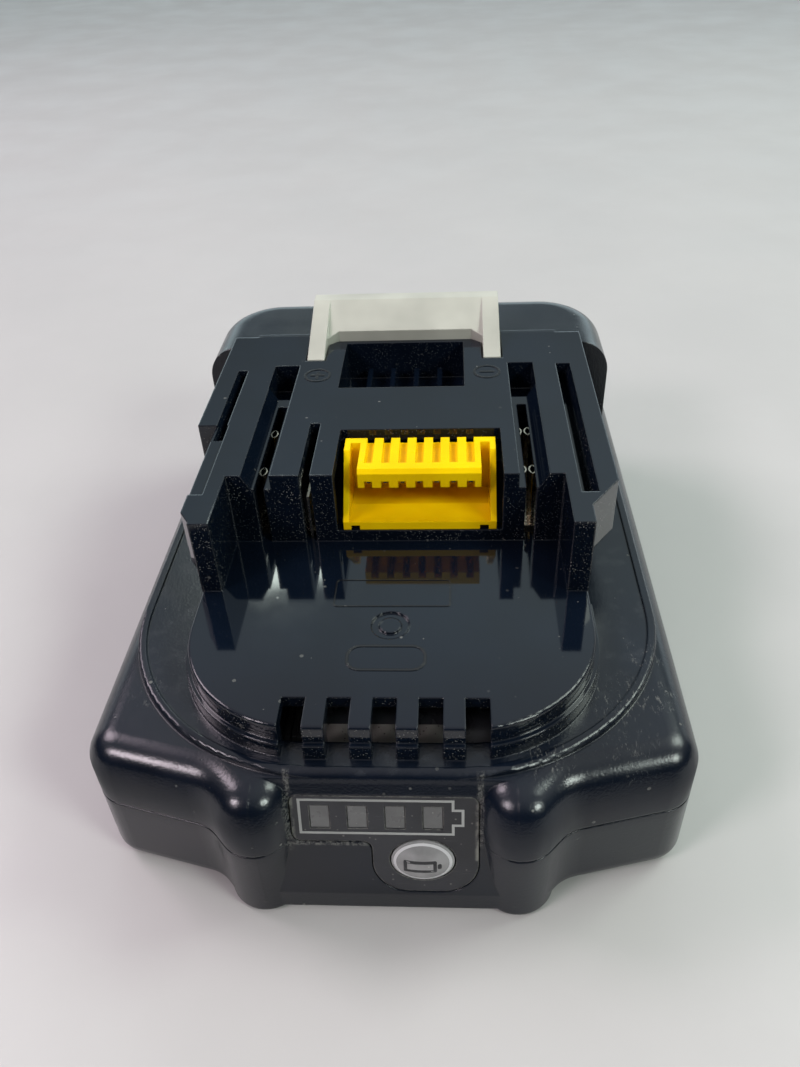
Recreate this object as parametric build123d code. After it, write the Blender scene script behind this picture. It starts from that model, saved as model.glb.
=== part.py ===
from build123d import *
from math import cos, radians, sin, sqrt, tan
import os

os.makedirs("parts", exist_ok=True)

# Frame: X to the right, Y from the gauge end to the latch end, Z up. All lengths are millimetres.
# The rails and terminals have fixed places, as tools need them; the cells hang below the ledge that carries
# them and the case follows the cells. At the end all pieces are set down on the middle of their footprint.
overrun = 1.0
fit_gap = 0.15
wall = 1.8

# Datums of the terminal block: the front of the hump and the height of the ledge
hump_front_y = 33.4
ledge_z = 23.1

# Cells, whose row sets the size of the case
cell_count = 5
cell_radius = 9.2
cell_length = 65.0
cell_spacing = 0.2
cell_pitch = 2 * cell_radius + cell_spacing
cell_floor_gap = 0.35
cell_roof_gap = 0.75
side_room = 6.8
end_room = 10.1
hump_depth = 23.1
case_width = cell_length + 2 * side_room
case_length = (cell_count - 1) * cell_pitch + 2 * cell_radius + 2 * end_room
back_y = hump_front_y + hump_depth
front_y = back_y - case_length
middle_y = (front_y + back_y) / 2
cell_row = [middle_y + (index - (cell_count - 1) / 2) * cell_pitch for index in range(cell_count)]
chamber_roof_z = ledge_z - wall
cell_top_z = chamber_roof_z - cell_roof_gap
cell_z = cell_top_z - cell_radius
floor_z = cell_z - cell_radius - cell_floor_gap - wall
chamber_front_gap = 1.9
chamber_front_y = cell_row[0] - cell_radius - chamber_front_gap

# Form of the cells
can_edge = 0.8
nub_radius = 3.9
nub_height = 1.3
crimp_depth = 0.5
crimp_width = 1.2
crimp_from_top = 2.6
insulator_thickness = 0.3
insulator_inner_radius = 4.3

# Case
shoulder_drop = 0.6
shoulder_z = ledge_z - shoulder_drop
seam_rise = 13.0
seam_z = floor_z + seam_rise
edge_radius = 4.2
foot_radius = 3.0
front_corner_radius = 5.0
back_corner_radius = 13.0
front_wall_angle = 14.0
seam_depth = 0.3
seam_height = 0.3
lap_height = 1.4
lap_thickness = 0.75
lap_inset = 1.0

# Screw columns at the gauge end
column_x = 16.6
column_radius = 5.0
column_foot_edge = 1.2
flank_angle = 47.0
flank_run = 6.0
flank_radius = 6.0
column_y = front_y + column_radius
relief_overlap_share = 0.12

# Ledge around the raised parts, with a low rim
ledge_inset = 2.3
ledge_half = case_width / 2 - ledge_inset
ledge_setback = 4.9
ledge_front_y = front_y + ledge_setback
ledge_radius = 29.0
ledge_edge = 0.4
rim_width = 1.2
rim_height = 0.25
brow_radius = 1.6

# Platform with its vents
platform_z = 28.0
platform_half = 27.3
platform_setback = 8.0
platform_front_y = front_y + platform_setback
platform_radius = 17.5
platform_edge = 0.4
platform_step = 0.7
platform_step_z = 25.4
deck_wall = 1.9
vent_count = 5
vent_pitch = 5.7
vent_width = 3.0
vent_length = 4.85
vent_back_y = platform_front_y + vent_length
vent_floor_length = 2.1
vent_floor_back_y = platform_front_y + vent_floor_length
dimple_setback = 17.7
dimple_y = platform_front_y + dimple_setback
dimple_radius = 2.6
dimple_core_radius = 1.5
dimple_depth = 0.3

# Terminal block, rails and lips
plate_z = 40.0
plate_thickness = 2.0
block_front_y = -12.5
rail_front_y = -23.9
rail_inner_x = 24.4
lip_half = 31.6
lip_bottom_z = 31.4
lip_chamfer_start_y = -14.2
lip_chamfer_end_y = -20.1
short_lip_y = 1.8
narrow_lip_x = 28.8
narrow_lip_front_y = -21.2
narrow_lip_end_y = -23.5
narrow_lip_drop = 0.5
narrow_lip_line_x = 26.7
narrow_lip_line_y = -17.0
groove_inner_x = 26.2
groove_outer_x = 28.6
groove_floor_x = 27.6
groove_left_inner_x = 26.9
groove_floor_z = 36.0
groove_front_y = -17.0
groove_back_y = 21.0
groove_left_front_y = -2.0
groove_left_back_y = 20.0

# Slots in the terminal block
slot_x = 19.8
slot_width = 1.5
slot_back_y = 11.4
channel_inner_x = 18.0
channel_outer_x = 22.3
channel_floor_x = 20.9
channel_floor_z = 37.6
channel_back_y = 21.6
pocket_front_y = 14.0
pocket_floor_z = 35.0
slot_floor_thickness = 1.6
third_slot_x = 12.9
third_slot_width = 1.6
third_slot_back_y = 2.0
window_left_x = -8.8
window_right_x = 15.8
window_back_y = 0.0
window_sill_z = 29.9

# Latch well
well_half = 10.5
well_front_y = 13.5
well_back_y = 30.0
well_floor_z = 33.0
well_wall = 1.1
well_rib_count = 4
well_rib_width = 0.9
well_rib_height = 2.5
well_rib_back_y = 29.0
well_rib_front_y = 17.5

# Hump over the latch
hump_z = 38.0
hump_inset = 1.8
hump_half = case_width / 2 - hump_inset
hump_corner_radius = 12.0
hump_edge_radius = 6.0

# Latch springs and the shelf with their cups
spring_x = 8.5
spring_setback = 7.9
spring_y = back_y - spring_setback
spring_radius = 2.2
spring_wire_radius = 0.3
spring_turns = 5
cup_outer_radius = 3.6
cup_inner_radius = 2.9
cup_floor_z = 18.6
cup_floor_thickness = 1.0
cup_depth = 4.3
cup_top_z = cup_floor_z + cup_depth

# Latch
latch_travel = 5.2
latch_gap = 0.3
hook_top_z = 45.0
hook_bottom_z = 30.0
hook_back_y = 40.7
hook_crest_y = 38.1
post_inner_x = 14.0
post_outer_x = 17.0
post_front_y = 23.8
post_foot_z = 36.0
bar_half = 12.0
bar_front_y = 31.4
bar_lip_drop = 3.2
bar_lip_z = hook_top_z - bar_lip_drop
bar_foot_z = 34.5
gusset_front_y = 29.9
gusset_lip_drop = 3.9
gusset_lip_z = hook_top_z - gusset_lip_drop
web_front_y = 34.5
bridge_half = 13.0
bridge_thickness = 2.6
stem_half = 4.6
stem_root = 2.0
stem_bottom_z = cup_top_z + latch_travel + latch_gap
recess_half = 12.6
recess_depth = 2.3
recess_bottom_z = 14.3
recess_top_z = 36.0
pad_gap = 0.4
pad_depth = 1.8
pad_bottom_z = 20.0
pad_corner = 2.0
pad_rib_count = 4
pad_rib_height = 0.5
pad_rib_width = 0.9
pad_rib_pitch = 2.2
prong_thickness = 1.0
prong_length = 4.0
prong_gap = 0.05

# Case screws
screw_back_x = 24.0
screw_setback = 5.1
screw_back_y = back_y - screw_setback
screw_head_radius = 2.6
screw_head_height = 1.8
screw_shank_radius = 1.4
screw_length = 14.2
screw_drive_radius = 1.1
screw_drive_depth = 1.0
screw_recess_radius = 2.8
screw_seat_rise = 4.4
screw_seat_z = floor_z + screw_seat_rise
screw_tip_z = screw_seat_z + screw_length
screw_clear_radius = 1.7
screw_pilot_radius = 1.45
screw_tip_gap = 0.6
screw_hole_top_z = screw_tip_z + screw_tip_gap
screw_boss_radius = 3.6

# Cell holders
holder_inner_x = 22.0
holder_end_gap = 0.3
holder_roof_gap = 0.1
holder_top_z = chamber_roof_z - holder_roof_gap
holder_back_wall = 1.2
holder_front_wall = 1.6
bore_gap = 0.15
holder_window_radius = 5.2
strip_space = 0.6
tab_groove_depth = 0.55

# Links between the cells
strip_thickness = 0.3
strip_height = 8.0
strip_overlap = 4.5
tab_width = 3.2
end_tab_share = 0.45
tab_inner_x = 23.2

# Main board and what it carries
board_half = 24.2
board_bottom_z = 22.9
board_thickness = 1.6
board_setback = 14.5
board_front_y = platform_front_y + board_setback
board_back_y = 30.6
board_radius = 6.0
board_top_z = board_bottom_z + board_thickness
board_screw_x = 21.0
board_screw_y = 27.4
board_boss_radius = 2.6
board_screw_radius = 1.0
board_screw_head_radius = 1.9
board_screw_head_height = 1.3
board_screw_length = 6.0

# Parts on the board; the shares place them across its half width and along its length
controller_side = 9.0
controller_height = 1.2
controller_shares = (0.0, 0.155)
power_switch_width = 6.0
power_switch_length = 6.5
power_switch_height = 1.4
power_switch_shares = ((-0.62, 0.186), (0.62, 0.186))
regulator_width = 5.0
regulator_length = 3.0
regulator_height = 1.0
regulator_shares = (-0.62, 0.84)
resistor_width = 2.0
resistor_length = 1.2
resistor_height = 0.6
resistor_shares = ((-0.37, 0.263), (0.37, 0.263), (-0.3, 0.86), (0.3, 0.8))
capacitor_radius = 2.5
capacitor_height = 5.0
capacitor_shares = (0.0, 0.882)
fuse_length = 6.0
fuse_width = 2.5
fuse_height = 2.2
fuse_cap = 1.2
fuse_waist = 0.15
fuse_shares = (0.54, 0.93)

# Terminal base and contacts
base_half = 23.6
base_front_y = -9.6
base_back_y = 10.4
base_height = 2.5
base_z = board_top_z + base_height
contact_half_width = 2.3
contact_front_y = -8.6
contact_back_y = 9.4
contact_plate = 0.8
jaw_places = (5.9, -5.1)
jaw_length = 2.4
jaw_middle_gap = 0.12
jaw_end_gap = 0.75
jaw_thickness = 0.25
jaw_top_z = 35.8
leaf_thickness = 0.4
leaf_front_y = -11.6
leaf_back_y = -4.0
leaf_top_z = 35.6

# Signal connector
plug_left_x = -7.9
plug_right_x = 15.0
plug_back_y = -1.2
plug_wall = 0.9
plug_back_wall = 1.4
plug_top_z = 39.2
plug_front_y = -12.2
comb_left_x = -5.5
comb_right_x = 12.7
comb_front_y = -10.3
comb_bottom_z = 36.2
comb_edge = 0.6
comb_count = 7
comb_pitch = 2.52
comb_groove = 1.15
comb_groove_depth = 0.9
comb_groove_front_y = -8.1
comb_notch_depth = 1.1
plug_lip_z = 31.3
plug_lip_back_y = -7.4
plug_lip_sag = 0.5
plug_base_front_y = -10.4
plug_side_top = 3.4
plug_notch = 1.3
plug_notch_inset = 1.15
plug_notch_height = 0.75
signal_width = 0.6
signal_thickness = 0.35
signal_front_inset = 0.7
signal_back = 0.35

# Charge gauge, on the sloping face between the columns
gauge_top_setback = 4.5
gauge_top_y = front_y + gauge_top_setback
gauge_top_z = 21.0
gauge_run = 3.5
gauge_rise = 15.0
gauge_low_z = 4.3
gauge_foot_setback = 0.6
gauge_foot_y = front_y + gauge_foot_setback
gauge_centre_z = 13.5
label_left_x = -11.8
label_right_x = 11.5
label_top_z = 19.9
label_step_z = 12.9
label_bottom_z = 4.9
lobe_left_x = -1.8
label_corner = 1.2
lobe_radius = 4.6
label_thickness = 0.25
label_recess = 0.3
cover_thickness = 1.6
cover_gap = 0.15
window_count = 4
window_pitch = 4.67
window_first_x = -8.15
gauge_window_width = 2.5
window_bottom_z = 14.9
window_top_z = 18.4
button_x = 4.5
button_z = 10.0
button_half_x = 4.0
button_half_v = 3.2
button_dome = 0.9
button_flange = 0.7
button_flange_thickness = 0.5
button_gap = 0.2
button_travel = 0.4
light_guide_depth = 1.2
gauge_board_depth = 5.0
gauge_board_thickness = 1.0
lamp_height = 0.7
lamp_width = 1.6
switch_half = 1.5
switch_height = 1.3
plunger_radius = 0.75
gauge_reach = 4.0
compartment_inset = 0.8

# Foam pads, gauge wires and thermistor
foam_width = 6.0
foam_x = 12.0
foam_end_gap = 3.0
front_foam_half = 8.5
front_foam_reach = 0.2
front_foam_height = 2.25
wire_count = 4
wire_pitch = 0.9
wire_width = 0.7
wire_thickness = 0.35
wire_first_x = -13.0
wire_rise = 1.4
wire_foot_gap = 0.7
wire_run = 1.8
bead_length = 3.0
bead_width = 2.0
bead_height = 1.5
bead_corner = 0.65
lead_radius = 0.25
lead_spread = 1.0


def block(x0, x1, y0, y1, z0, z1):
    """A box between two opposite corners."""
    return Pos(x0, y0, z0) * Box(x1 - x0, y1 - y0, z1 - z0, align=(Align.MIN, Align.MIN, Align.MIN))


def slab(face, low, high):
    """A plan carried from one height to another."""
    return Pos(0, 0, low) * extrude(face, amount=high - low, dir=(0, 0, 1))


def side_prism(points, x0, x1):
    """A side view of (y, z) points carried across the pack."""
    face = Plane.YZ * make_face(Polyline(*points, close=True))
    return Pos(x0, 0, 0) * extrude(face, amount=x1 - x0, dir=(1, 0, 0))


def end_prism(points, y0, y1):
    """An end view of (x, z) points carried along the pack."""
    face = Plane.XZ * make_face(Polyline(*points, close=True))
    return Pos(0, y0, 0) * extrude(face, amount=y1 - y0, dir=(0, 1, 0))


def rod(radius, x, y, z0, z1):
    """An upright cylinder."""
    return Pos(x, y, z0) * Cylinder(radius, z1 - z0, align=(Align.CENTER, Align.CENTER, Align.MIN))


def tongue(half, front, back, radius):
    """A plan with a straight back and two round front corners."""
    corners = [(half, back), (half, front), (-half, front), (-half, back)]
    return make_face(FilletPolyline(*corners, radius=[0, radius, radius, 0], close=True))


def hump_plan(inset):
    """Plan of the hump: straight in front, its back corners round."""
    half = hump_half - inset
    front = hump_front_y + inset
    back = back_y - inset
    radius = hump_corner_radius - inset
    corners = [(half, front), (half, back), (-half, back), (-half, front)]
    return make_face(FilletPolyline(*corners, radius=[0, radius, radius, 0], close=True))


def mirrored(shape):
    """The same shape on the other side of the pack."""
    return mirror(shape, about=Plane.YZ)


def case_outline():
    """Plan of the case: round back corners, sloping front walls and the flanks of the columns."""
    half = case_width / 2
    slope = radians(flank_angle)
    tip = (column_x + column_radius * tan(slope / 2), front_y)
    root = (tip[0] + flank_run * cos(slope), tip[1] + flank_run * sin(slope))
    corner = (half, root[1] + (half - root[0]) * tan(radians(front_wall_angle)))
    right = [(half, back_y), corner, root, tip]
    radii = [back_corner_radius, front_corner_radius, flank_radius, column_radius]
    left = [(-x, y) for x, y in reversed(right)]
    return make_face(FilletPolyline(*right, *left, radius=radii + radii[::-1], close=True))


def screw_places():
    """Centres of the four case screws, on the columns and beside the latch."""
    front = [(side * column_x, column_y) for side in (-1, 1)]
    back = [(side * screw_back_x, screw_back_y) for side in (-1, 1)]
    return front, back


def gauge_plane():
    """The sloping gauge face: x across, y up the face, z straight out of it."""
    length = sqrt(gauge_run ** 2 + gauge_rise ** 2)
    origin = (0, gauge_y(gauge_centre_z), gauge_centre_z)
    return Plane(origin=origin, x_dir=(1, 0, 0), z_dir=(0, -gauge_rise / length, gauge_run / length))


def gauge_y(z):
    """Where the gauge face lies at a height."""
    return gauge_top_y - (gauge_top_z - z) * gauge_run / gauge_rise


def up_face(z):
    """Distance up the sloping face from its centre to a height."""
    return (z - gauge_centre_z) * sqrt(gauge_run ** 2 + gauge_rise ** 2) / gauge_rise


def on_face(face, inner, outer):
    """A drawing on the gauge face carried from one depth to another."""
    return gauge_plane() * Pos(0, 0, inner) * extrude(face, amount=outer - inner, dir=(0, 0, 1))


def face_rectangle(x0, x1, z0, z1):
    """A rectangle on the gauge face between two heights."""
    low = up_face(z0)
    return Pos(x0, low) * Rectangle(x1 - x0, up_face(z1) - low, align=(Align.MIN, Align.MIN))


def label_face(inset):
    """Outline of the gauge film: a wide strip with a lobe round the button."""
    left = label_left_x + inset
    right = label_right_x - inset
    top = up_face(label_top_z) - inset
    step = up_face(label_step_z) + inset
    bottom = up_face(label_bottom_z) + inset
    lobe = lobe_left_x + inset
    points = [(left, top), (left, step), (lobe, step), (lobe, bottom), (right, bottom), (right, top)]
    small = label_corner - inset
    large = lobe_radius - inset
    radii = [small, small, label_corner, large, large, small]
    return make_face(FilletPolyline(*points, radius=radii, close=True))


def front_relief():
    """What is cleared in front of the gauge face and over its round brow, up to the columns."""
    brow_z = ledge_z + rim_height
    brow_y = gauge_y(brow_z)
    high_z = brow_z + overrun
    low_y = front_y - overrun
    points = [
        (low_y, floor_z - overrun),
        (gauge_foot_y, floor_z - overrun),
        (gauge_foot_y, gauge_low_z),
        (brow_y, brow_z),
        (brow_y + brow_radius, brow_z),
        (brow_y + brow_radius, high_z),
        (low_y, high_z),
    ]
    outline = FilletPolyline(*points, radius=[0, 0, 0, brow_radius, 0, 0, 0], close=True)
    reach = column_x - column_radius * relief_overlap_share
    relief = Pos(-reach, 0, 0) * extrude(Plane.YZ * make_face(outline), amount=2 * reach, dir=(1, 0, 0))
    return relief - column(-1) - column(1)


def column(side):
    """One round screw column with its domed head and a small edge at the foot."""
    post = rod(column_radius, 0, 0, floor_z, shoulder_z)
    ends = post.faces().sort_by(Axis.Z)
    post = fillet(ends[0].edges(), column_foot_edge)
    post = fillet(post.faces().sort_by(Axis.Z)[-1].edges(), edge_radius)
    return Pos(side * column_x, column_y, 0) * post


def shoulder_body():
    """The low body of the case with rounded edges above and below."""
    body = slab(case_outline(), floor_z, shoulder_z)
    body = round_ends(body, foot_radius, edge_radius)
    return body + column(-1) + column(1)


def round_ends(body, low_radius, high_radius):
    """A slab with its lower and upper edges rounded."""
    body = fillet(body.faces().sort_by(Axis.Z)[0].edges(), low_radius)
    return fillet(body.faces().sort_by(Axis.Z)[-1].edges(), high_radius)


def hump_body():
    """The rounded hump over the latch, as high as it stands at the back."""
    body = slab(hump_plan(0), shoulder_z - edge_radius, hump_z)
    edges = body.faces().sort_by(Axis.Z)[-1].edges().sort_by(Axis.Y)
    return fillet(edges[1:], hump_edge_radius)


def ledge_body():
    """The ledge that the tool's shoe slides over, with the low rim along its edge."""
    back = hump_front_y + overrun
    rim_z = ledge_z + rim_height
    body = slab(tongue(ledge_half, ledge_front_y, back, ledge_radius), seam_z, rim_z)
    body = fillet(body.faces().sort_by(Axis.Z)[-1].edges(), ledge_edge)
    half = ledge_half - rim_width
    inner = tongue(half, ledge_front_y + rim_width, back + overrun, ledge_radius - rim_width)
    return body - slab(inner, ledge_z, rim_z + overrun)


def platform_body():
    """The glossy platform in two steps, its front corners round."""
    upper_face = tongue(platform_half, platform_front_y, block_front_y + overrun, platform_radius)
    upper = slab(upper_face, ledge_z - overrun, platform_z)
    upper = fillet(upper.faces().sort_by(Axis.Z)[-1].edges().sort_by(Axis.Y)[:-1], platform_edge)
    half = platform_half + platform_step
    radius = platform_radius + platform_step
    lower_face = tongue(half, platform_front_y - platform_step, rail_front_y, radius)
    return upper + slab(lower_face, ledge_z - overrun, platform_step_z)


def lip_plan(points):
    """A lip along the outside of a rail, as thick as the tool's shoe needs."""
    return slab(make_face(Polyline(*points, close=True)), lip_bottom_z, plate_z)


def rail_body():
    """The terminal block with its two rails and the lips along their outer sides."""
    low_z = ledge_z - overrun
    back = hump_front_y + overrun
    body = block(-platform_half, platform_half, block_front_y, back, low_z, plate_z)
    for x0, x1 in ((-platform_half, -rail_inner_x), (rail_inner_x, platform_half)):
        body += block(x0, x1, rail_front_y, block_front_y + overrun, low_z, plate_z)
    root = platform_half - overrun
    right = [
        (root, back - overrun),
        (lip_half, back - overrun),
        (lip_half, lip_chamfer_start_y),
        (platform_half, lip_chamfer_end_y),
        (root, lip_chamfer_end_y),
    ]
    left_wide = [
        (-root, back - overrun),
        (-lip_half, back - overrun),
        (-lip_half, short_lip_y),
        (-root, short_lip_y),
    ]
    left_narrow = [
        (-root, short_lip_y + overrun),
        (-narrow_lip_x, short_lip_y + overrun),
        (-narrow_lip_x, narrow_lip_front_y),
        (-platform_half, narrow_lip_end_y),
        (-root, narrow_lip_end_y),
    ]
    return body + lip_plan(right) + lip_plan(left_wide) + lip_plan(left_narrow)


def outer_case():
    """Everything of the case from outside, before it is hollowed and parted."""
    body = shoulder_body() + hump_body() + ledge_body() + platform_body() + rail_body()
    return body - front_relief()


def cell_chamber():
    """The hollow that holds the cells, rounded like the case and square to the gauge end."""
    face = offset(case_outline(), amount=-wall)
    room = slab(face, floor_z + wall, chamber_roof_z)
    room = round_ends(room, foot_radius - wall, edge_radius - wall)
    return room & block(-case_width, case_width, chamber_front_y, back_y, floor_z, chamber_roof_z + overrun)


def deck_room():
    """The hollow under the platform and the terminal block, open to the hump behind it."""
    half = platform_half - deck_wall
    low = chamber_roof_z - overrun
    high = platform_z - wall
    block_back = block_front_y + deck_wall
    front_plan = tongue(half, platform_front_y + deck_wall, block_back, platform_radius - deck_wall)
    room = slab(front_plan, low, high)
    room += block(-half, half, block_front_y, block_back + overrun, low, high)
    room += block(-half, half, block_back, hump_front_y, low, plate_z - plate_thickness)
    back = hump_front_y + wall + overrun
    return room + block(-half, half, hump_front_y - overrun, back, low, hump_z - wall)


def hump_room():
    """The hollow in the hump, open to the cells below."""
    room = slab(hump_plan(wall), chamber_roof_z - edge_radius, hump_z - wall)
    edges = room.faces().sort_by(Axis.Z)[-1].edges().sort_by(Axis.Y)
    return fillet(edges[1:], hump_edge_radius - wall)


def spring_shelf():
    """The shelf behind the cells, on the recess wall, that the cups of the springs are sunk in."""
    half = spring_x + cup_outer_radius
    front = spring_y - cup_outer_radius
    back = back_y - recess_depth
    return block(-half, half, front, back, cup_floor_z - cup_floor_thickness, cup_top_z)


def under_plate_walls():
    """Walls that hang inside the block round the channels, pockets and the latch well."""
    walls = []
    skin = slot_floor_thickness
    high = plate_z - overrun
    for side in (-1, 1):
        x0, x1 = sorted((side * (channel_inner_x - skin), side * (channel_outer_x + skin)))
        walls.append(block(x0, x1, block_front_y + wall, pocket_front_y, channel_floor_z - skin, high))
        walls.append(block(x0, x1, pocket_front_y - skin, channel_back_y + skin, pocket_floor_z - skin, high))
        walls.append(rod(board_boss_radius, side * board_screw_x, board_screw_y, board_top_z, high))
    half = well_half + well_wall
    front = well_front_y - well_wall
    walls.append(block(-half, half, front, well_back_y + well_wall, well_floor_z - skin, high))
    return walls


def slot_cuts():
    """Main slots with their wide lead-in channels and pockets, and the third slot."""
    cuts = []
    high = plate_z + overrun
    front = block_front_y - overrun
    for side in (-1, 1):
        left = side * slot_x - slot_width / 2
        cuts.append(block(left, left + slot_width, front, slot_back_y, platform_z, high))
        profile = [
            (side * channel_inner_x, high),
            (side * channel_inner_x, channel_floor_z),
            (side * channel_floor_x, channel_floor_z),
            (side * channel_outer_x, plate_z),
            (side * channel_outer_x, high),
        ]
        cuts.append(end_prism(profile, front, channel_back_y))
        inner, outer = sorted((side * channel_inner_x, side * channel_outer_x))
        cuts.append(block(inner, outer, pocket_front_y, channel_back_y, pocket_floor_z, high))
    left = -third_slot_x - third_slot_width / 2
    cuts.append(block(left, left + third_slot_width, front, third_slot_back_y, platform_z, high))
    cuts.append(block(window_left_x, window_right_x, front, window_back_y, window_sill_z, high))
    return cuts


def rail_cuts():
    """Closed grooves along the lips, and the lowered top of the narrow lip."""
    high = plate_z + overrun
    right = [
        (groove_inner_x, high),
        (groove_inner_x, groove_floor_z),
        (groove_floor_x, groove_floor_z),
        (groove_outer_x, plate_z),
        (groove_outer_x, high),
    ]
    left = [
        (-groove_left_inner_x, high),
        (-groove_left_inner_x, groove_floor_z),
        (-groove_floor_x, groove_floor_z),
        (-groove_outer_x, plate_z),
        (-groove_outer_x, high),
    ]
    low = plate_z - narrow_lip_drop
    return [
        end_prism(right, groove_front_y, groove_back_y),
        end_prism(left, groove_left_front_y, groove_left_back_y),
        block(-lip_half, -narrow_lip_line_x, narrow_lip_line_y, short_lip_y, low, high),
    ]


def well_cut():
    """The latch well, with the ribs on its floor left standing."""
    well = block(-well_half, well_half, well_front_y, well_back_y, well_floor_z, plate_z + overrun)
    step = 2 * well_half / (well_rib_count + 1)
    top = well_floor_z + well_rib_height
    for index in range(well_rib_count):
        x = -well_half + (index + 1) * step - well_rib_width / 2
        well -= block(x, x + well_rib_width, well_rib_front_y, well_rib_back_y, well_floor_z, top)
    return well


def latch_cuts():
    """Room for the hook, its posts and gussets through the plate and the front of the hump."""
    high = plate_z + overrun
    low = plate_z - plate_thickness - overrun
    half = post_outer_x + latch_gap
    bottom = hook_bottom_z - latch_travel - latch_gap
    cuts = [block(-half, half, bar_front_y - latch_gap, hook_back_y + latch_gap, bottom, high)]
    for side in (-1, 1):
        inner, outer = sorted((side * (post_inner_x - latch_gap), side * half))
        cuts.append(block(inner, outer, post_front_y - latch_gap, bar_front_y, low, high))
        corner = [
            (side * (bar_half - latch_gap), bar_front_y),
            (side * (post_inner_x - latch_gap / 2), gusset_front_y - latch_gap),
            (side * (post_inner_x + latch_gap), gusset_front_y - latch_gap),
            (side * (post_inner_x + latch_gap), bar_front_y),
        ]
        cuts.append(slab(make_face(Polyline(*corner, close=True)), low, high))
    return cuts


def recess_floor():
    """The set-in wall behind the thumb pad."""
    half = recess_half + wall
    inner = back_y - recess_depth - wall
    return block(-half, half, inner, back_y - wall, recess_bottom_z - wall, hump_z - wall)


def recess_cuts():
    """The thumb recess in the end wall, and the slot that the latch stem slides in."""
    floor = back_y - recess_depth
    recess = block(-recess_half, recess_half, floor, back_y + overrun, recess_bottom_z, recess_top_z)
    recess = fillet(recess.edges().filter_by(Axis.Y), pad_corner)
    top = hook_bottom_z + bridge_thickness + prong_gap + prong_thickness + latch_gap
    bottom = stem_bottom_z - prong_gap - prong_thickness - latch_travel - latch_gap
    half = stem_half + latch_gap
    return [recess, block(-half, half, floor - wall - overrun, floor + overrun, bottom, top)]


def vent_cuts():
    """Vent slots through the platform's top and front, down to the ledge."""
    cuts = []
    front = platform_front_y - platform_step - overrun
    low = chamber_roof_z - overrun
    for index in range(vent_count):
        x0 = (index - (vent_count - 1) / 2) * vent_pitch - vent_width / 2
        x1 = x0 + vent_width
        cuts.append(block(x0, x1, front, vent_back_y, ledge_z, platform_z + overrun))
        cuts.append(block(x0, x1, vent_floor_back_y, vent_back_y, low, ledge_z))
    return cuts


def dimple_cut():
    """The round moulding mark in the platform."""
    ring = rod(dimple_radius, 0, dimple_y, platform_z - dimple_depth, platform_z + overrun)
    return ring - rod(dimple_core_radius, 0, dimple_y, platform_z - dimple_depth, platform_z + overrun)


def gauge_cuts():
    """The opening for the gauge cover and the compartment behind it."""
    cover_back = -cover_thickness - label_recess
    opening = on_face(label_face(-cover_gap), cover_back, gauge_reach)
    room = on_face(compartment_face(compartment_inset), -gauge_board_depth * 2, cover_back)
    room &= block(-case_width, case_width, front_y, chamber_front_y + overrun, floor_z, shoulder_z)
    return [opening, room]


def compartment_face(inset):
    """The rectangle within the gauge cover's outline that the compartment and its board fill."""
    return face_rectangle(
        label_left_x + inset, label_right_x - inset, label_bottom_z + inset, label_top_z - inset
    )


def lap_ring(inner_gap, outer_gap, low, high):
    """The band inside the case wall where the two halves lap."""
    outline = case_outline()
    outer = offset(outline, amount=-lap_inset + outer_gap)
    inner = offset(outline, amount=-lap_inset - lap_thickness - inner_gap)
    ring = slab(outer, low, high) - slab(inner, low, high)
    front = chamber_front_y + front_corner_radius
    back = back_y - back_corner_radius
    return ring & block(-case_width, case_width, front - outer_gap, back + outer_gap, low, high)


def seam_cut():
    """The fine groove that runs round the case where the halves meet."""
    outer = offset(case_outline(), amount=overrun)
    inner = offset(case_outline(), amount=-seam_depth)
    low = seam_z - seam_height / 2
    high = seam_z + seam_height / 2
    return slab(outer, low, high) - slab(inner, low, high)


def round_cuts():
    """Cups for the springs, and the holes and recesses of the screws."""
    cuts = []
    low = board_top_z - overrun
    high = board_top_z + board_screw_length
    for side in (-1, 1):
        cuts.append(rod(cup_inner_radius, side * spring_x, spring_y, cup_floor_z, hook_bottom_z))
        cuts.append(rod(board_screw_radius, side * board_screw_x, board_screw_y, low, high))
    front, back = screw_places()
    for x, y in front + back:
        cuts.append(rod(screw_recess_radius, x, y, floor_z - overrun, screw_seat_z))
        cuts.append(rod(screw_clear_radius, x, y, floor_z, seam_z))
        cuts.append(rod(screw_pilot_radius, x, y, seam_z, screw_hole_top_z))
    return cuts


def hollow_case():
    """The whole case, hollowed and pierced, before it is parted at the seam."""
    body = outer_case() - cell_chamber() - deck_room() - hump_room()
    inside = recess_floor() + spring_shelf()
    for piece in under_plate_walls():
        inside += piece
    for x, y in screw_places()[1]:
        inside += rod(screw_boss_radius, x, y, floor_z + wall, chamber_roof_z)
    body += inside
    cuts = [well_cut(), dimple_cut(), seam_cut()]
    cuts += slot_cuts() + rail_cuts() + latch_cuts() + recess_cuts()
    cuts += vent_cuts() + gauge_cuts() + round_cuts()
    for cut in cuts:
        body -= cut
    return body


def case_halves():
    """The upper and lower case, parted at the seam and lapped."""
    whole = hollow_case()
    far = case_length
    upper = whole & block(-far, far, -far, far, seam_z, plate_z + overrun)
    lower = whole & block(-far, far, -far, far, floor_z - overrun, seam_z)
    upper -= lap_ring(overrun, fit_gap, seam_z, seam_z + lap_height + fit_gap)
    lower += lap_ring(0, 0, seam_z - overrun, seam_z + lap_height)
    return upper, lower


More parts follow.
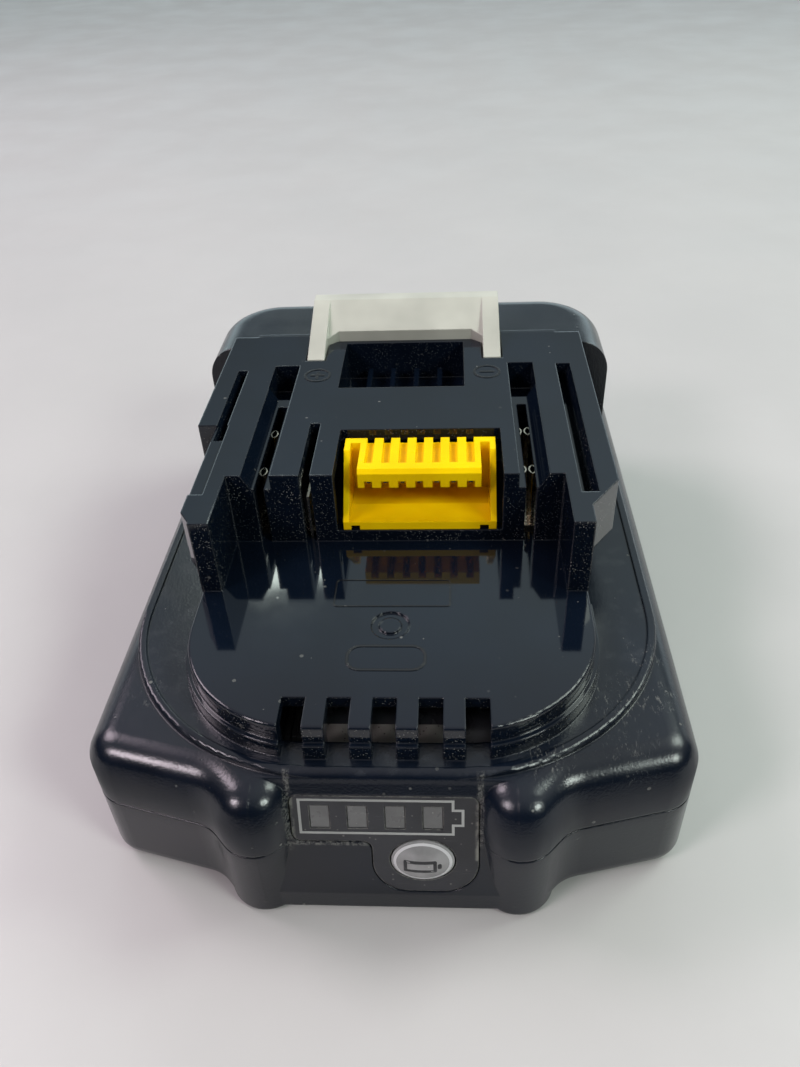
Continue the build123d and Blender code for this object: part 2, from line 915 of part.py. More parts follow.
def latch_hook():
    """Hook of the latch: two ramped posts, the cross bar, its web, the bridge and the stem."""
    bar = side_prism(
        [
            (bar_front_y, bar_foot_z),
            (bar_front_y, bar_lip_z),
            (hook_crest_y, hook_top_z),
            (hook_back_y, hook_top_z),
            (hook_back_y, hook_bottom_z),
            (web_front_y, hook_bottom_z),
            (web_front_y, bar_foot_z),
        ],
        -bar_half,
        bar_half,
    )
    post_profile = [
        (post_front_y, post_foot_z),
        (post_front_y, plate_z),
        (hook_crest_y, hook_top_z),
        (hook_back_y, hook_top_z),
        (hook_back_y, hook_bottom_z),
        (web_front_y, hook_bottom_z),
        (web_front_y, post_foot_z),
    ]
    hook = bar + side_prism(post_profile, post_inner_x, post_outer_x)
    hook += side_prism(post_profile, -post_outer_x, -post_inner_x)
    for side in (-1, 1):
        hook += gusset(side)
        inner, outer = sorted((side * bar_half, side * post_inner_x))
        hook += block(inner, outer, web_front_y, hook_back_y, hook_bottom_z, bar_foot_z)
    top = hook_bottom_z + bridge_thickness
    end = back_y - recess_depth - wall - latch_gap
    hook += block(-bridge_half, bridge_half, web_front_y, end, hook_bottom_z, top)
    tip = back_y - recess_depth + pad_gap
    hook += block(-stem_half, stem_half, end - stem_root, tip, stem_bottom_z, top)
    return hook


def gusset(side):
    """The slanting corner between the cross bar and one post."""
    sections = []
    for x, front, lip in ((bar_half, bar_front_y, bar_lip_z), (post_inner_x, gusset_front_y, gusset_lip_z)):
        points = [
            (side * x, front, bar_foot_z),
            (side * x, front, lip),
            (side * x, hook_crest_y, hook_top_z),
            (side * x, hook_back_y, hook_top_z),
            (side * x, hook_back_y, bar_foot_z),
        ]
        sections.append(make_face(Polyline(*points, close=True)))
    return loft(sections, ruled=True)


def latch_button():
    """Thumb pad on the end wall, with grip ribs outside and two prongs that clip on the stem."""
    inner = back_y - recess_depth + pad_gap
    outer = inner + pad_depth
    half = recess_half - pad_gap
    top = recess_top_z - pad_gap
    plate = block(-half, half, inner, outer, pad_bottom_z, top)
    plate = fillet(plate.edges().filter_by(Axis.Y), pad_corner - pad_gap)
    middle = (pad_bottom_z + top) / 2
    first = middle - pad_rib_pitch * (pad_rib_count - 1) / 2
    skin = outer - pad_rib_height
    grip = half - pad_corner
    plate -= block(-grip, grip, skin, outer + overrun, pad_bottom_z + pad_corner, top - pad_corner)
    for index in range(pad_rib_count):
        z = first + index * pad_rib_pitch - pad_rib_width / 2
        plate += block(-grip, grip, skin, outer, z, z + pad_rib_width)
    high = hook_bottom_z + bridge_thickness + prong_gap
    low = stem_bottom_z - prong_gap
    start = inner - prong_length
    plate += block(-stem_half, stem_half, start, inner, high, high + prong_thickness)
    plate += block(-stem_half, stem_half, inner - recess_depth, inner, low - prong_thickness, low)
    return plate


def latch_spring(side):
    """One compression spring between its cup and the bridge of the hook."""
    low = cup_floor_z + spring_wire_radius
    high = hook_bottom_z - spring_wire_radius
    pitch = (high - low) / spring_turns
    path = Helix(pitch=pitch, height=high - low, radius=spring_radius)
    section = Plane(origin=path @ 0, z_dir=path % 0) * Circle(spring_wire_radius)
    return Pos(side * spring_x, spring_y, low) * sweep(section, path=path)


def case_screw(x, y):
    """A pan-head case screw, driven from below."""
    head = rod(screw_head_radius, x, y, screw_seat_z - screw_head_height, screw_seat_z)
    drive = RegularPolygon(screw_drive_radius, 6)
    low = screw_seat_z - screw_head_height
    head -= Pos(x, y, 0) * slab(drive, low, low + screw_drive_depth)
    return head + rod(screw_shank_radius, x, y, screw_seat_z, screw_tip_z)


def cell(index):
    """One cylindrical cell lying across the pack, its positive end turned by place in the string."""
    half = cell_length / 2
    can_top = half - nub_height
    crimp = can_top - crimp_from_top
    neck = cell_radius - crimp_depth
    points = [
        (0, -half),
        (cell_radius - can_edge, -half),
        (cell_radius, -half + can_edge),
        (cell_radius, crimp - crimp_width / 2),
        (neck, crimp),
        (cell_radius, crimp + crimp_width / 2),
        (cell_radius, can_top - can_edge),
        (cell_radius - can_edge, can_top),
        (nub_radius, can_top),
        (nub_radius, half),
        (0, half),
    ]
    body = revolve(Plane.XZ * make_face(Polyline(*points, close=True)), axis=Axis.Z)
    turn = 1 if index % 2 == 0 else -1
    return Pos(0, cell_row[index], cell_z) * Rot(0, turn * 90, 0) * body


def cell_insulator(index):
    """The ring between a cell's positive end and its strip."""
    turn = 1 if index % 2 == 0 else -1
    start = cell_length / 2 - nub_height
    outer = cell_radius - can_edge
    ring = Cylinder(outer, insulator_thickness) - Cylinder(insulator_inner_radius, insulator_thickness)
    place = turn * (start + insulator_thickness / 2)
    return Pos(place, cell_row[index], cell_z) * Rot(0, 90, 0) * ring


def cell_holder():
    """The frame round the right-hand ends of the cells, with weld windows and grooves for the tabs."""
    outer_half = case_width / 2 - wall - holder_end_gap
    front = cell_row[0] - cell_radius - holder_front_wall
    back = cell_row[-1] + cell_radius + holder_back_wall
    room = slab(offset(case_outline(), amount=-wall - holder_end_gap), floor_z + wall, holder_top_z)
    room = round_ends(room, foot_radius - wall, edge_radius - wall)
    body = room & block(holder_inner_x, outer_half, front, back, floor_z, holder_top_z + overrun)
    strip_x = cell_length / 2
    for y in cell_row:
        bore = Cylinder(cell_radius + bore_gap, strip_x - holder_inner_x + overrun)
        middle = (strip_x + holder_inner_x - overrun) / 2
        body -= Pos(middle, y, cell_z) * Rot(0, 90, 0) * bore
        window = Cylinder(holder_window_radius, case_width / 2 - strip_x)
        body -= Pos((case_width / 2 + strip_x) / 2, y, cell_z) * Rot(0, 90, 0) * window
    half_strip = strip_height / 2 + fit_gap
    body -= block(
        strip_x - overrun, strip_x + strip_space, cell_row[0] - cell_radius + can_edge,
        cell_row[-1] + cell_radius - can_edge, cell_z - half_strip, cell_z + half_strip
    )
    return body


def holder_pair():
    """Both cell holders, with the tab grooves where each side's strips rise."""
    right = cell_holder()
    left = mirrored(right)
    low = holder_top_z - tab_groove_depth
    strip_x = cell_length / 2
    for side, tab_rows in ((1, tabs_right()), (-1, tabs_left())):
        for y in tab_rows:
            half = tab_width / 2 + fit_gap
            x0, x1 = sorted((side * (holder_inner_x - overrun), side * (strip_x + strip_space)))
            y0, y1 = y - half, y + half
            groove = block(x0, x1, y0, y1, low, holder_top_z + overrun)
            x2, x3 = sorted((side * (strip_x - fit_gap), side * (strip_x + strip_space)))
            shaft = block(x2, x3, y0, y1, cell_z, holder_top_z + overrun)
            if side > 0:
                right = right - groove - shaft
            else:
                left = left - groove - shaft
    return left, right


def between(first, second):
    """Where a tab rises: midway between two neighbouring cells."""
    return (cell_row[first] + cell_row[second]) / 2


def tabs_right():
    """Places of the tabs on the right: cells 1 to 2, cells 3 to 4, and the plus end."""
    return [between(0, 1), between(2, 3), cell_row[4] - cell_pitch * end_tab_share]


def tabs_left():
    """Places of the tabs on the left: the minus end, cells 2 to 3, and cells 4 to 5."""
    return [cell_row[0] + cell_pitch * end_tab_share, between(1, 2), between(3, 4)]


def link(side, first, last, tab_y):
    """A welded strip across one or two cell ends, with a tab that rises and runs in to the board."""
    x0 = cell_length / 2
    x1 = x0 + strip_thickness
    y0 = cell_row[first] - strip_overlap
    y1 = cell_row[last] + strip_overlap
    half = strip_height / 2
    plate = block(x0, x1, y0, y1, cell_z - half, cell_z + half)
    plate = fillet(plate.edges().filter_by(Axis.X), half / 2)
    low_tab = tab_y - tab_width / 2
    high_tab = tab_y + tab_width / 2
    plate += block(x0, x1, min(low_tab, y0 + half), max(high_tab, y1 - half), cell_z, cell_z + half / 2)
    run_z = holder_top_z - strip_thickness
    plate += block(x0, x1, low_tab, high_tab, cell_z, holder_top_z)
    plate += block(tab_inner_x, x1, low_tab, high_tab, run_z, holder_top_z)
    plate += block(tab_inner_x, tab_inner_x + strip_thickness, low_tab, high_tab, run_z, board_bottom_z)
    return plate if side > 0 else mirrored(plate)


def board_plan():
    """Plan of the main board, cut away at its front corners and clear of the block's walls."""
    return tongue(board_half, board_front_y, board_back_y, board_radius)


def main_board():
    """The circuit board under the platform and the terminal block."""
    board = slab(board_plan(), board_bottom_z, board_top_z)
    hole = board_screw_radius + fit_gap
    for side in (-1, 1):
        board -= rod(hole, side * board_screw_x, board_screw_y, board_bottom_z, board_top_z)
    return board


def on_board(shares):
    """A place on the board from its shares across and along."""
    across, along = shares
    return across * board_half, board_front_y + along * (board_back_y - board_front_y)


def chip(shares, width, length, height):
    """A flat part that lies on the board."""
    return Pos(*on_board(shares), board_top_z) * Box(
        width, length, height, align=(Align.CENTER, Align.CENTER, Align.MIN)
    )


def board_parts():
    """Controller, two power switches, regulator, resistors and capacitor on the board."""
    chips = [chip(controller_shares, controller_side, controller_side, controller_height)]
    for place in power_switch_shares:
        chips.append(chip(place, power_switch_width, power_switch_length, power_switch_height))
    chips.append(chip(regulator_shares, regulator_width, regulator_length, regulator_height))
    for place in resistor_shares:
        chips.append(chip(place, resistor_width, resistor_length, resistor_height))
    x, y = on_board(capacitor_shares)
    chips.append(rod(capacitor_radius, x, y, board_top_z, board_top_z + capacitor_height))
    return Compound(children=chips)


def fuse():
    """The surface fuse beside the plus tab: two end caps and a slimmer body between them."""
    middle_length = fuse_length - fuse_cap * 2
    body = chip(fuse_shares, middle_length, fuse_width - fuse_waist * 2, fuse_height - fuse_waist)
    x, y = on_board(fuse_shares)
    for side in (-1, 1):
        x0, x1 = sorted((x + side * (fuse_length / 2 - fuse_cap), x + side * fuse_length / 2))
        y0, y1 = y - fuse_width / 2, y + fuse_width / 2
        body += block(x0, x1, y0, y1, board_top_z, board_top_z + fuse_height)
    return body


def board_screw(side):
    """A small screw that holds the board to a boss of the upper case."""
    x = side * board_screw_x
    shank = board_screw_radius - prong_gap
    low = board_bottom_z - board_screw_head_height
    head = rod(board_screw_head_radius, x, board_screw_y, low, board_bottom_z)
    return head + rod(shank, x, board_screw_y, board_bottom_z, board_top_z + board_screw_length - overrun)


def thermistor():
    """A bead on the middle cell with two leads up to the board."""
    y = cell_row[2]
    low = cell_top_z
    bead = RectangleRounded(bead_length, bead_width, bead_corner)
    bead = Pos(0, y, 0) * slab(bead, low, low + bead_height)
    for side in (-1, 1):
        bead += rod(lead_radius, side * lead_spread, y, low + bead_height / 2, board_bottom_z)
    return bead


def terminal_base():
    """The moulding on the board that seats the contacts, open round the signal connector."""
    body = block(-base_half, base_half, base_front_y, base_back_y, board_top_z, base_z)
    left = plug_left_x - fit_gap
    right = plug_right_x + fit_gap
    front = base_front_y - overrun
    return body - block(left, right, front, plug_back_y + overrun, board_top_z - overrun, base_z + overrun)


def forked_contact(side):
    """A main contact: a plate with two pairs of bowed jaws that grip the tool's blade."""
    x = side * slot_x
    left = x - contact_half_width
    right = x + contact_half_width
    body = block(left, right, contact_front_y, contact_back_y, base_z, base_z + contact_plate)
    for y in jaw_places:
        for turn in (-1, 1):
            body += Pos(x, y, 0) * jaw(turn)
    return body


def jaw(turn):
    """One leaf of a pair of jaws, bowed in to its neighbour and flared at both ends."""
    half = jaw_length / 2
    inner = [(turn * jaw_end_gap, -half), (turn * jaw_middle_gap, 0), (turn * jaw_end_gap, half)]
    outer = [(x + turn * jaw_thickness, y) for x, y in inner]
    edges = [
        ThreePointArc(*inner),
        Line(inner[2], outer[2]),
        ThreePointArc(*outer),
        Line(outer[0], inner[0]),
    ]
    return slab(make_face(edges), base_z, jaw_top_z)


def charge_contact():
    """The single leaf in the third slot, on a small foot."""
    x = -third_slot_x
    half = leaf_thickness / 2
    outline = [
        (leaf_front_y, platform_z),
        (leaf_front_y, leaf_top_z),
        (leaf_back_y, leaf_top_z),
        (leaf_back_y, base_z),
        (base_front_y, base_z),
        (base_front_y, platform_z),
    ]
    width = third_slot_width
    foot = block(x - width, x + width, base_front_y, leaf_back_y, base_z, base_z + contact_plate)
    return side_prism(outline, x - half, x + half) + foot


def comb_places():
    """Centres of the seven ways of the signal connector."""
    middle = (comb_left_x + comb_right_x) / 2
    return [middle + (index - (comb_count - 1) / 2) * comb_pitch for index in range(comb_count)]


def signal_connector():
    """The yellow connector: frame, grooved comb block, toothed lower edge and dished lip."""
    inner_back = plug_back_y - plug_back_wall
    base_top = plug_lip_z - plug_lip_sag
    body = block(plug_left_x, plug_right_x, plug_base_front_y, plug_back_y, board_top_z, base_top)
    body += block(plug_left_x, plug_right_x, inner_back, plug_back_y, board_top_z, plug_top_z)
    side_profile = [
        (plug_back_y, plug_lip_z - overrun),
        (plug_back_y, plug_top_z),
        (plug_back_y - plug_side_top, plug_top_z),
        (plug_front_y, plug_lip_z),
        (plug_front_y, window_sill_z),
        (plug_base_front_y, window_sill_z),
    ]
    body += side_prism(side_profile, plug_left_x, plug_left_x + plug_wall)
    body += side_prism(side_profile, plug_right_x - plug_wall, plug_right_x)
    body += dished_lip()
    comb = side_prism(
        [
            (plug_back_y, comb_bottom_z),
            (plug_back_y, plug_top_z),
            (comb_front_y + comb_edge, plug_top_z),
            (comb_front_y, plug_top_z - comb_edge),
            (comb_front_y, comb_bottom_z),
        ],
        comb_left_x,
        comb_right_x,
    )
    body += comb
    back = plug_back_y + overrun
    groove_z = plug_top_z - comb_groove_depth
    notch_z = comb_bottom_z + comb_notch_depth
    hole = signal_width / 2 + prong_gap
    low, high = signal_heights(prong_gap)
    for x in comb_places():
        x0, x1 = x - comb_groove / 2, x + comb_groove / 2
        body -= block(x0, x1, comb_groove_front_y, back, groove_z, plug_top_z + overrun)
        body -= block(x0, x1, comb_front_y - overrun, inner_back, comb_bottom_z - overrun, notch_z)
        body -= block(x - hole, x + hole, inner_back - overrun, back, low, high)
    for x0 in (plug_left_x + plug_notch_inset, plug_right_x - plug_notch_inset - plug_notch):
        body -= block(
            x0, x0 + plug_notch, plug_front_y - overrun, plug_front_y + plug_notch,
            window_sill_z - overrun, window_sill_z + plug_notch_height
        )
    return body


def dished_lip():
    """The lower lip of the connector, its top dished between front and back edges."""
    middle = (plug_front_y + plug_lip_back_y) / 2
    dish = ThreePointArc(
        (plug_front_y, plug_lip_z), (middle, plug_lip_z - plug_lip_sag), (plug_lip_back_y, plug_lip_z)
    )
    rest = Polyline(
        (plug_lip_back_y, plug_lip_z), (plug_lip_back_y, window_sill_z), (plug_front_y, window_sill_z),
        (plug_front_y, plug_lip_z)
    )
    face = Plane.YZ * make_face([dish, rest])
    return Pos(plug_left_x, 0, 0) * extrude(face, amount=plug_right_x - plug_left_x, dir=(1, 0, 0))


def signal_heights(gap):
    """Underside and top of the signal leaves, or of their holes with a gap all round."""
    middle = comb_bottom_z + comb_notch_depth / 2
    half = signal_thickness / 2 + gap
    return middle - half, middle + half


def signal_contacts():
    """Seven leaves that run under the comb, through its back wall and down to the board."""
    leaves = []
    low, high = signal_heights(0)
    front = comb_front_y + signal_front_inset
    back = plug_back_y + signal_back
    for x in comb_places():
        x0, x1 = x - signal_width / 2, x + signal_width / 2
        leaf = block(x0, x1, front, back + signal_thickness, low, high)
        leaf += block(x0, x1, back, back + signal_thickness, board_top_z, high)
        leaves.append(leaf)
    return Compound(children=leaves)


def window_places():
    """Left edges of the gauge's four windows."""
    return [window_first_x - gauge_window_width / 2 + index * window_pitch for index in range(window_count)]


def window_faces(grow):
    """The four window rectangles on the gauge face."""
    faces = []
    low = window_bottom_z - grow
    high = window_top_z + grow
    for x in window_places():
        faces.append(face_rectangle(x - grow, x + gauge_window_width + grow, low, high))
    return faces


def button_face(grow):
    """The oval of the check button."""
    return Pos(button_x, up_face(button_z)) * Ellipse(button_half_x + grow, button_half_v + grow)


def gauge_cover():
    """The plate that fills the gauge opening, pierced for four windows and the button."""
    plate = on_face(label_face(0), -cover_thickness - label_recess, -label_recess)
    inner = -cover_thickness - label_recess - overrun
    for face in window_faces(0):
        plate -= on_face(face, inner, 0)
    plate -= on_face(button_face(button_gap), inner, 0)
    pocket = inner + overrun + button_flange_thickness + button_gap
    return plate - on_face(button_face(button_flange + button_gap), inner, pocket)


def gauge_label():
    """The thin film over the cover, cut out round the button and over the windows."""
    film = on_face(label_face(0), -label_recess, -label_recess + label_thickness)
    film -= on_face(button_face(button_gap), -label_recess - overrun, overrun)
    for face in window_faces(0):
        film -= on_face(face, -label_recess - overrun, overrun)
    return film


def light_guides():
    """Four clear blocks that carry the lamps' light to the face."""
    guides = []
    inner = -label_recess - cover_thickness - light_guide_depth
    outer = -label_recess + label_thickness / 2
    for face in window_faces(-prong_gap):
        guides.append(on_face(face, inner, outer))
    return Compound(children=guides)


def gauge_button():
    """The domed oval check button, with a flange that keeps it in and a post behind."""
    start = -label_recess - cover_thickness
    flange = on_face(button_face(button_flange), start, start + button_flange_thickness)
    stem = on_face(button_face(0), start, 0)
    rim = gauge_plane() * Pos(button_x, up_face(button_z), 0)
    height = button_dome
    cap_radius = (button_half_v ** 2 + height ** 2) / (2 * height)
    ball = Pos(0, 0, height - cap_radius) * Sphere(cap_radius)
    stretch = button_half_x / button_half_v
    cap = scale(ball & slab(Circle(button_half_v), 0, height), by=(stretch, 1, 1))
    return flange + stem + rim * cap


def gauge_board():
    """The small board behind the gauge."""
    outline = compartment_face(compartment_inset + fit_gap * 2)
    return on_face(outline, -gauge_board_depth, -gauge_board_depth + gauge_board_thickness)


def gauge_lamps():
    """Four lamps on the gauge board, one behind each light guide."""
    lamps = []
    front = -gauge_board_depth + gauge_board_thickness
    middle_z = (window_bottom_z + window_top_z) / 2
    half = lamp_width / 2
    for x in window_places():
        centre = x + gauge_window_width / 2
        face = face_rectangle(centre - half, centre + half, middle_z - half, middle_z + half)
        lamps.append(on_face(face, front, front + lamp_height))
    return Compound(children=lamps)


def gauge_switch():
    """The push switch on the gauge board, with its hole for the plunger."""
    front = -gauge_board_depth + gauge_board_thickness
    body = Pos(button_x, up_face(button_z)) * Rectangle(switch_half * 2, switch_half * 2)
    hole = Pos(button_x, up_face(button_z)) * Circle(plunger_radius + prong_gap)
    deep = front + button_travel
    return on_face(body, front, front + switch_height) - on_face(hole, deep - button_travel / 2, overrun)


def switch_plunger():
    """The plunger between the switch and the button."""
    front = -gauge_board_depth + gauge_board_thickness + button_travel * 2
    spot = Pos(button_x, up_face(button_z)) * Circle(plunger_radius)
    return on_face(spot, front, -label_recess - cover_thickness)


def gauge_wires():
    """Four wires side by side from the gauge board to the header under the platform."""
    start = chamber_front_y + wire_foot_gap
    low = chamber_roof_z + wire_foot_gap
    high = board_bottom_z - wire_thickness / 2
    centre = [
        (start, label_top_z - wall),
        (start + wire_rise, chamber_roof_z - wire_foot_gap),
        (vent_floor_back_y + wire_rise, low),
        (board_front_y, low),
        (board_front_y + wire_run, high),
        (board_front_y + wire_run + wire_rise, high),
    ]
    face = Plane.YZ * make_face(strip_outline(centre, wire_thickness))
    wires = []
    for index in range(wire_count):
        x = wire_first_x + index * wire_pitch
        wires.append(Pos(x, 0, 0) * extrude(face, amount=wire_width, dir=(1, 0, 0)))
    return Compound(children=wires)


def strip_outline(centre, thickness):
    """Outline of a bent strip of even upright thickness."""
    half = thickness / 2
    above = [(y, z + half) for y, z in centre]
    below = [(y, z - half) for y, z in reversed(centre)]
    return Polyline(*above, *below, close=True)


def foam_pads():
    """Two strips under the cells and a block between the first cell and the roof behind the vents."""
    front = cell_row[0] - cell_radius + foam_end_gap
    back = cell_row[-1] + cell_radius - foam_end_gap
    pads = []
    for side in (-1, 1):
        x = side * foam_x - foam_width / 2
        pads.append(block(x, x + foam_width, front, back, floor_z + wall, cell_z - cell_radius))
    low = chamber_roof_z - front_foam_height
    touch = cell_row[0] - sqrt(cell_radius ** 2 - (low - cell_z) ** 2)
    front = cell_row[0] - cell_radius - front_foam_reach
    pads.append(block(-front_foam_half, front_foam_half, front, touch, low, chamber_roof_z))
    return Compound(children=pads)


upper_case, lower_case = case_halves()
holder_left, holder_right = holder_pair()
right_tabs = tabs_right()
left_tabs = tabs_left()
front_screws, back_screws = screw_places()

pieces = {
    "upper_case": upper_case,
    "lower_case": lower_case,
    "latch_hook": latch_hook(),
    "latch_button": latch_button(),
    "latch_spring_left": latch_spring(-1),
    "latch_spring_right": latch_spring(1),
    "case_screws": Compound(children=[case_screw(x, y) for x, y in front_screws + back_screws]),
    "cell_holder_left": holder_left,
    "cell_holder_right": holder_right,
    "cell_insulators": Compound(children=[cell_insulator(index) for index in range(cell_count)]),
    "link_minus": link(-1, 0, 0, left_tabs[0]),
    "link_1_2": link(1, 0, 1, right_tabs[0]),
    "link_2_3": link(-1, 1, 2, left_tabs[1]),
    "link_3_4": link(1, 2, 3, right_tabs[1]),
    "link_4_5": link(-1, 3, 4, left_tabs[2]),
    "link_plus": link(1, 4, 4, right_tabs[2]),
    "main_board": main_board(),
    "board_parts": board_parts(),
    "board_screws": Compound(children=[board_screw(side) for side in (-1, 1)]),
    "fuse": fuse(),
    "thermistor": thermistor(),
    "terminal_base": terminal_base(),
    "positive_contact": forked_contact(-1),
    "negative_contact": forked_contact(1),
    "charge_contact": charge_contact(),
    "signal_connector": signal_connector(),
    "signal_contacts": signal_contacts(),
    "gauge_cover": gauge_cover(),
    "gauge_label": gauge_label(),
    "light_guides": light_guides(),
    "gauge_button": gauge_button(),
    "gauge_board": gauge_board(),
    "gauge_lamps": gauge_lamps(),
    "gauge_switch": gauge_switch(),
    "switch_plunger": switch_plunger(),
    "gauge_wires": gauge_wires(),
    "foam_pads": foam_pads(),
}
for index in range(cell_count):
    pieces[f"cell_{index + 1}"] = cell(index)

for name, shape in pieces.items():
    solids = [Pos(0, -middle_y, -floor_z) * solid for solid in shape.solids()]
    placed = solids[0] if len(solids) == 1 else Compound(children=solids)
    placed.label = name
    export_step(placed, f"parts/{name}.step")
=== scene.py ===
from math import cos, radians, sin

import bpy
from mathutils import Matrix, Vector


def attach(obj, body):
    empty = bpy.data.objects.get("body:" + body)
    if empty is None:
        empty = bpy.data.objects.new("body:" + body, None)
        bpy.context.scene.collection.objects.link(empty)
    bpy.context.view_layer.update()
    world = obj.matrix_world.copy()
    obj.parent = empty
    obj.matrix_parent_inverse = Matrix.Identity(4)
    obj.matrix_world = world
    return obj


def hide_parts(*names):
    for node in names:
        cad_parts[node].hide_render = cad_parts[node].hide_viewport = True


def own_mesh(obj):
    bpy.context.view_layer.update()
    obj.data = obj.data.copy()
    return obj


bl_info = {
    "name": "Tool battery pack",
    "version": (1, 0, 0),
    "blender": (4, 5, 0),
    "location": "View3D > Sidebar > Battery pack",
    "description": "Finishes, printed signs and stage of a slide-on tool battery pack",
    "category": "Object",
}

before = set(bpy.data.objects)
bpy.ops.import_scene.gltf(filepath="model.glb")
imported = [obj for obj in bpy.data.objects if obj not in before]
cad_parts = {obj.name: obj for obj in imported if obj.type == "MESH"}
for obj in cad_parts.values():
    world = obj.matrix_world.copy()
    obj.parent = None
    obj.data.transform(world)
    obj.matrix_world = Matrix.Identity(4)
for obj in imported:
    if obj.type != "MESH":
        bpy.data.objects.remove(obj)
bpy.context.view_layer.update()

CASE = "case"
BUTTON = "check_button"
# Points closer together than this are merged
WELD = 0.000001
# How far a sign is lifted off the button's dome, and how thick its ring and its battery sign are
SIGN_LIFT = 0.000004
RING_HEIGHT = 0.00003
MARK_HEIGHT = 0.00004
# Line widths of the two moulding frames, and the corner of the square one
PILL_LINE = 0.00035
PANEL_LINE = 0.0002
PANEL_CORNER = 0.0006

# Places on the case. A pair of numbers is where a soft step starts and ends.
# Platform and block are glossy above this height, within this half width and up to this distance along
GLOSS_LEVEL = (0.02320, 0.02335)
GLOSS_HALF = (0.0326, 0.0328)
GLOSS_END = (0.0334, 0.0336)
# The ledge's rim is rubbed from its outer step up to its top
RIM_STEP = (0.0226, 0.0230)
RIM_TOP = (0.02322, 0.02332)
# The walls' normals lean up more and more between these heights, and no longer on the shoulder itself
LEAN_RANGE = (0.0105, 0.0195)
LEAN_END = (0.0215, 0.0228)
# Dust on the glossy walls thins out towards the latch
DUST_END = (-0.008, 0.012)
# The gauge film: how far its left and right edges lie from the middle, and the foot of its left part,
# which runs from just past the left edge to the side of the tongue that goes on down
FILM_LEFT = 0.0118
FILM_RIGHT = 0.0115
FILM_FOOT = 0.01265
FOOT_START = (-0.0130, -0.0122)
FOOT_END = (-0.0016, -0.0012)
# Lint lies on the case this far from the film's edges, on the front wall alone and thicker higher up
LINT_GAP = 0.00015
LINT_FRONT = (-0.0505, -0.0512)
LINT_HEIGHT = (0.0100, 0.0140)
# Where the case is scuffed: place, reach and strength
SCUFFS = (
    ((0.0290, -0.0392, 0.0231), 0.0060, 0.36),
    ((0.0343, -0.0315, 0.0231), 0.0036, 0.40),
    ((0.0349, -0.0385, 0.0231), 0.0040, 0.42),
    ((0.0200, -0.0490, 0.0231), 0.0044, 0.28),
    ((0.0300, -0.0470, 0.0225), 0.0070, 0.12),
    ((-0.0215, -0.0420, 0.0235), 0.0050, 0.22),
    ((-0.0321, -0.0382, 0.0231), 0.0045, 0.12),
)

# The lights point here
AIM = (0.0, 0.0, 0.02)
# Name, place, width, height and colour, and the setting that holds the power
LIGHTS = (
    ("panel_left", (-0.44, -0.37, 0.51), 0.17, 0.17, (1.0, 0.88, 0.95), "left_power"),
    ("panel_right", (0.48, -0.37, 0.46), 0.17, 0.17, (0.90, 1.0, 0.93), "right_power"),
    ("side_left", (-0.52, 0.22, 0.58), 0.30, 0.30, (1.0, 0.84, 0.94), "side_power"),
    ("side_right", (0.52, 0.22, 0.58), 0.30, 0.30, (0.88, 1.0, 0.91), "side_power"),
    ("window", (-0.50, 1.875, 1.60), 0.27, 0.15, (0.88, 1.0, 0.92), "window_power"),
)


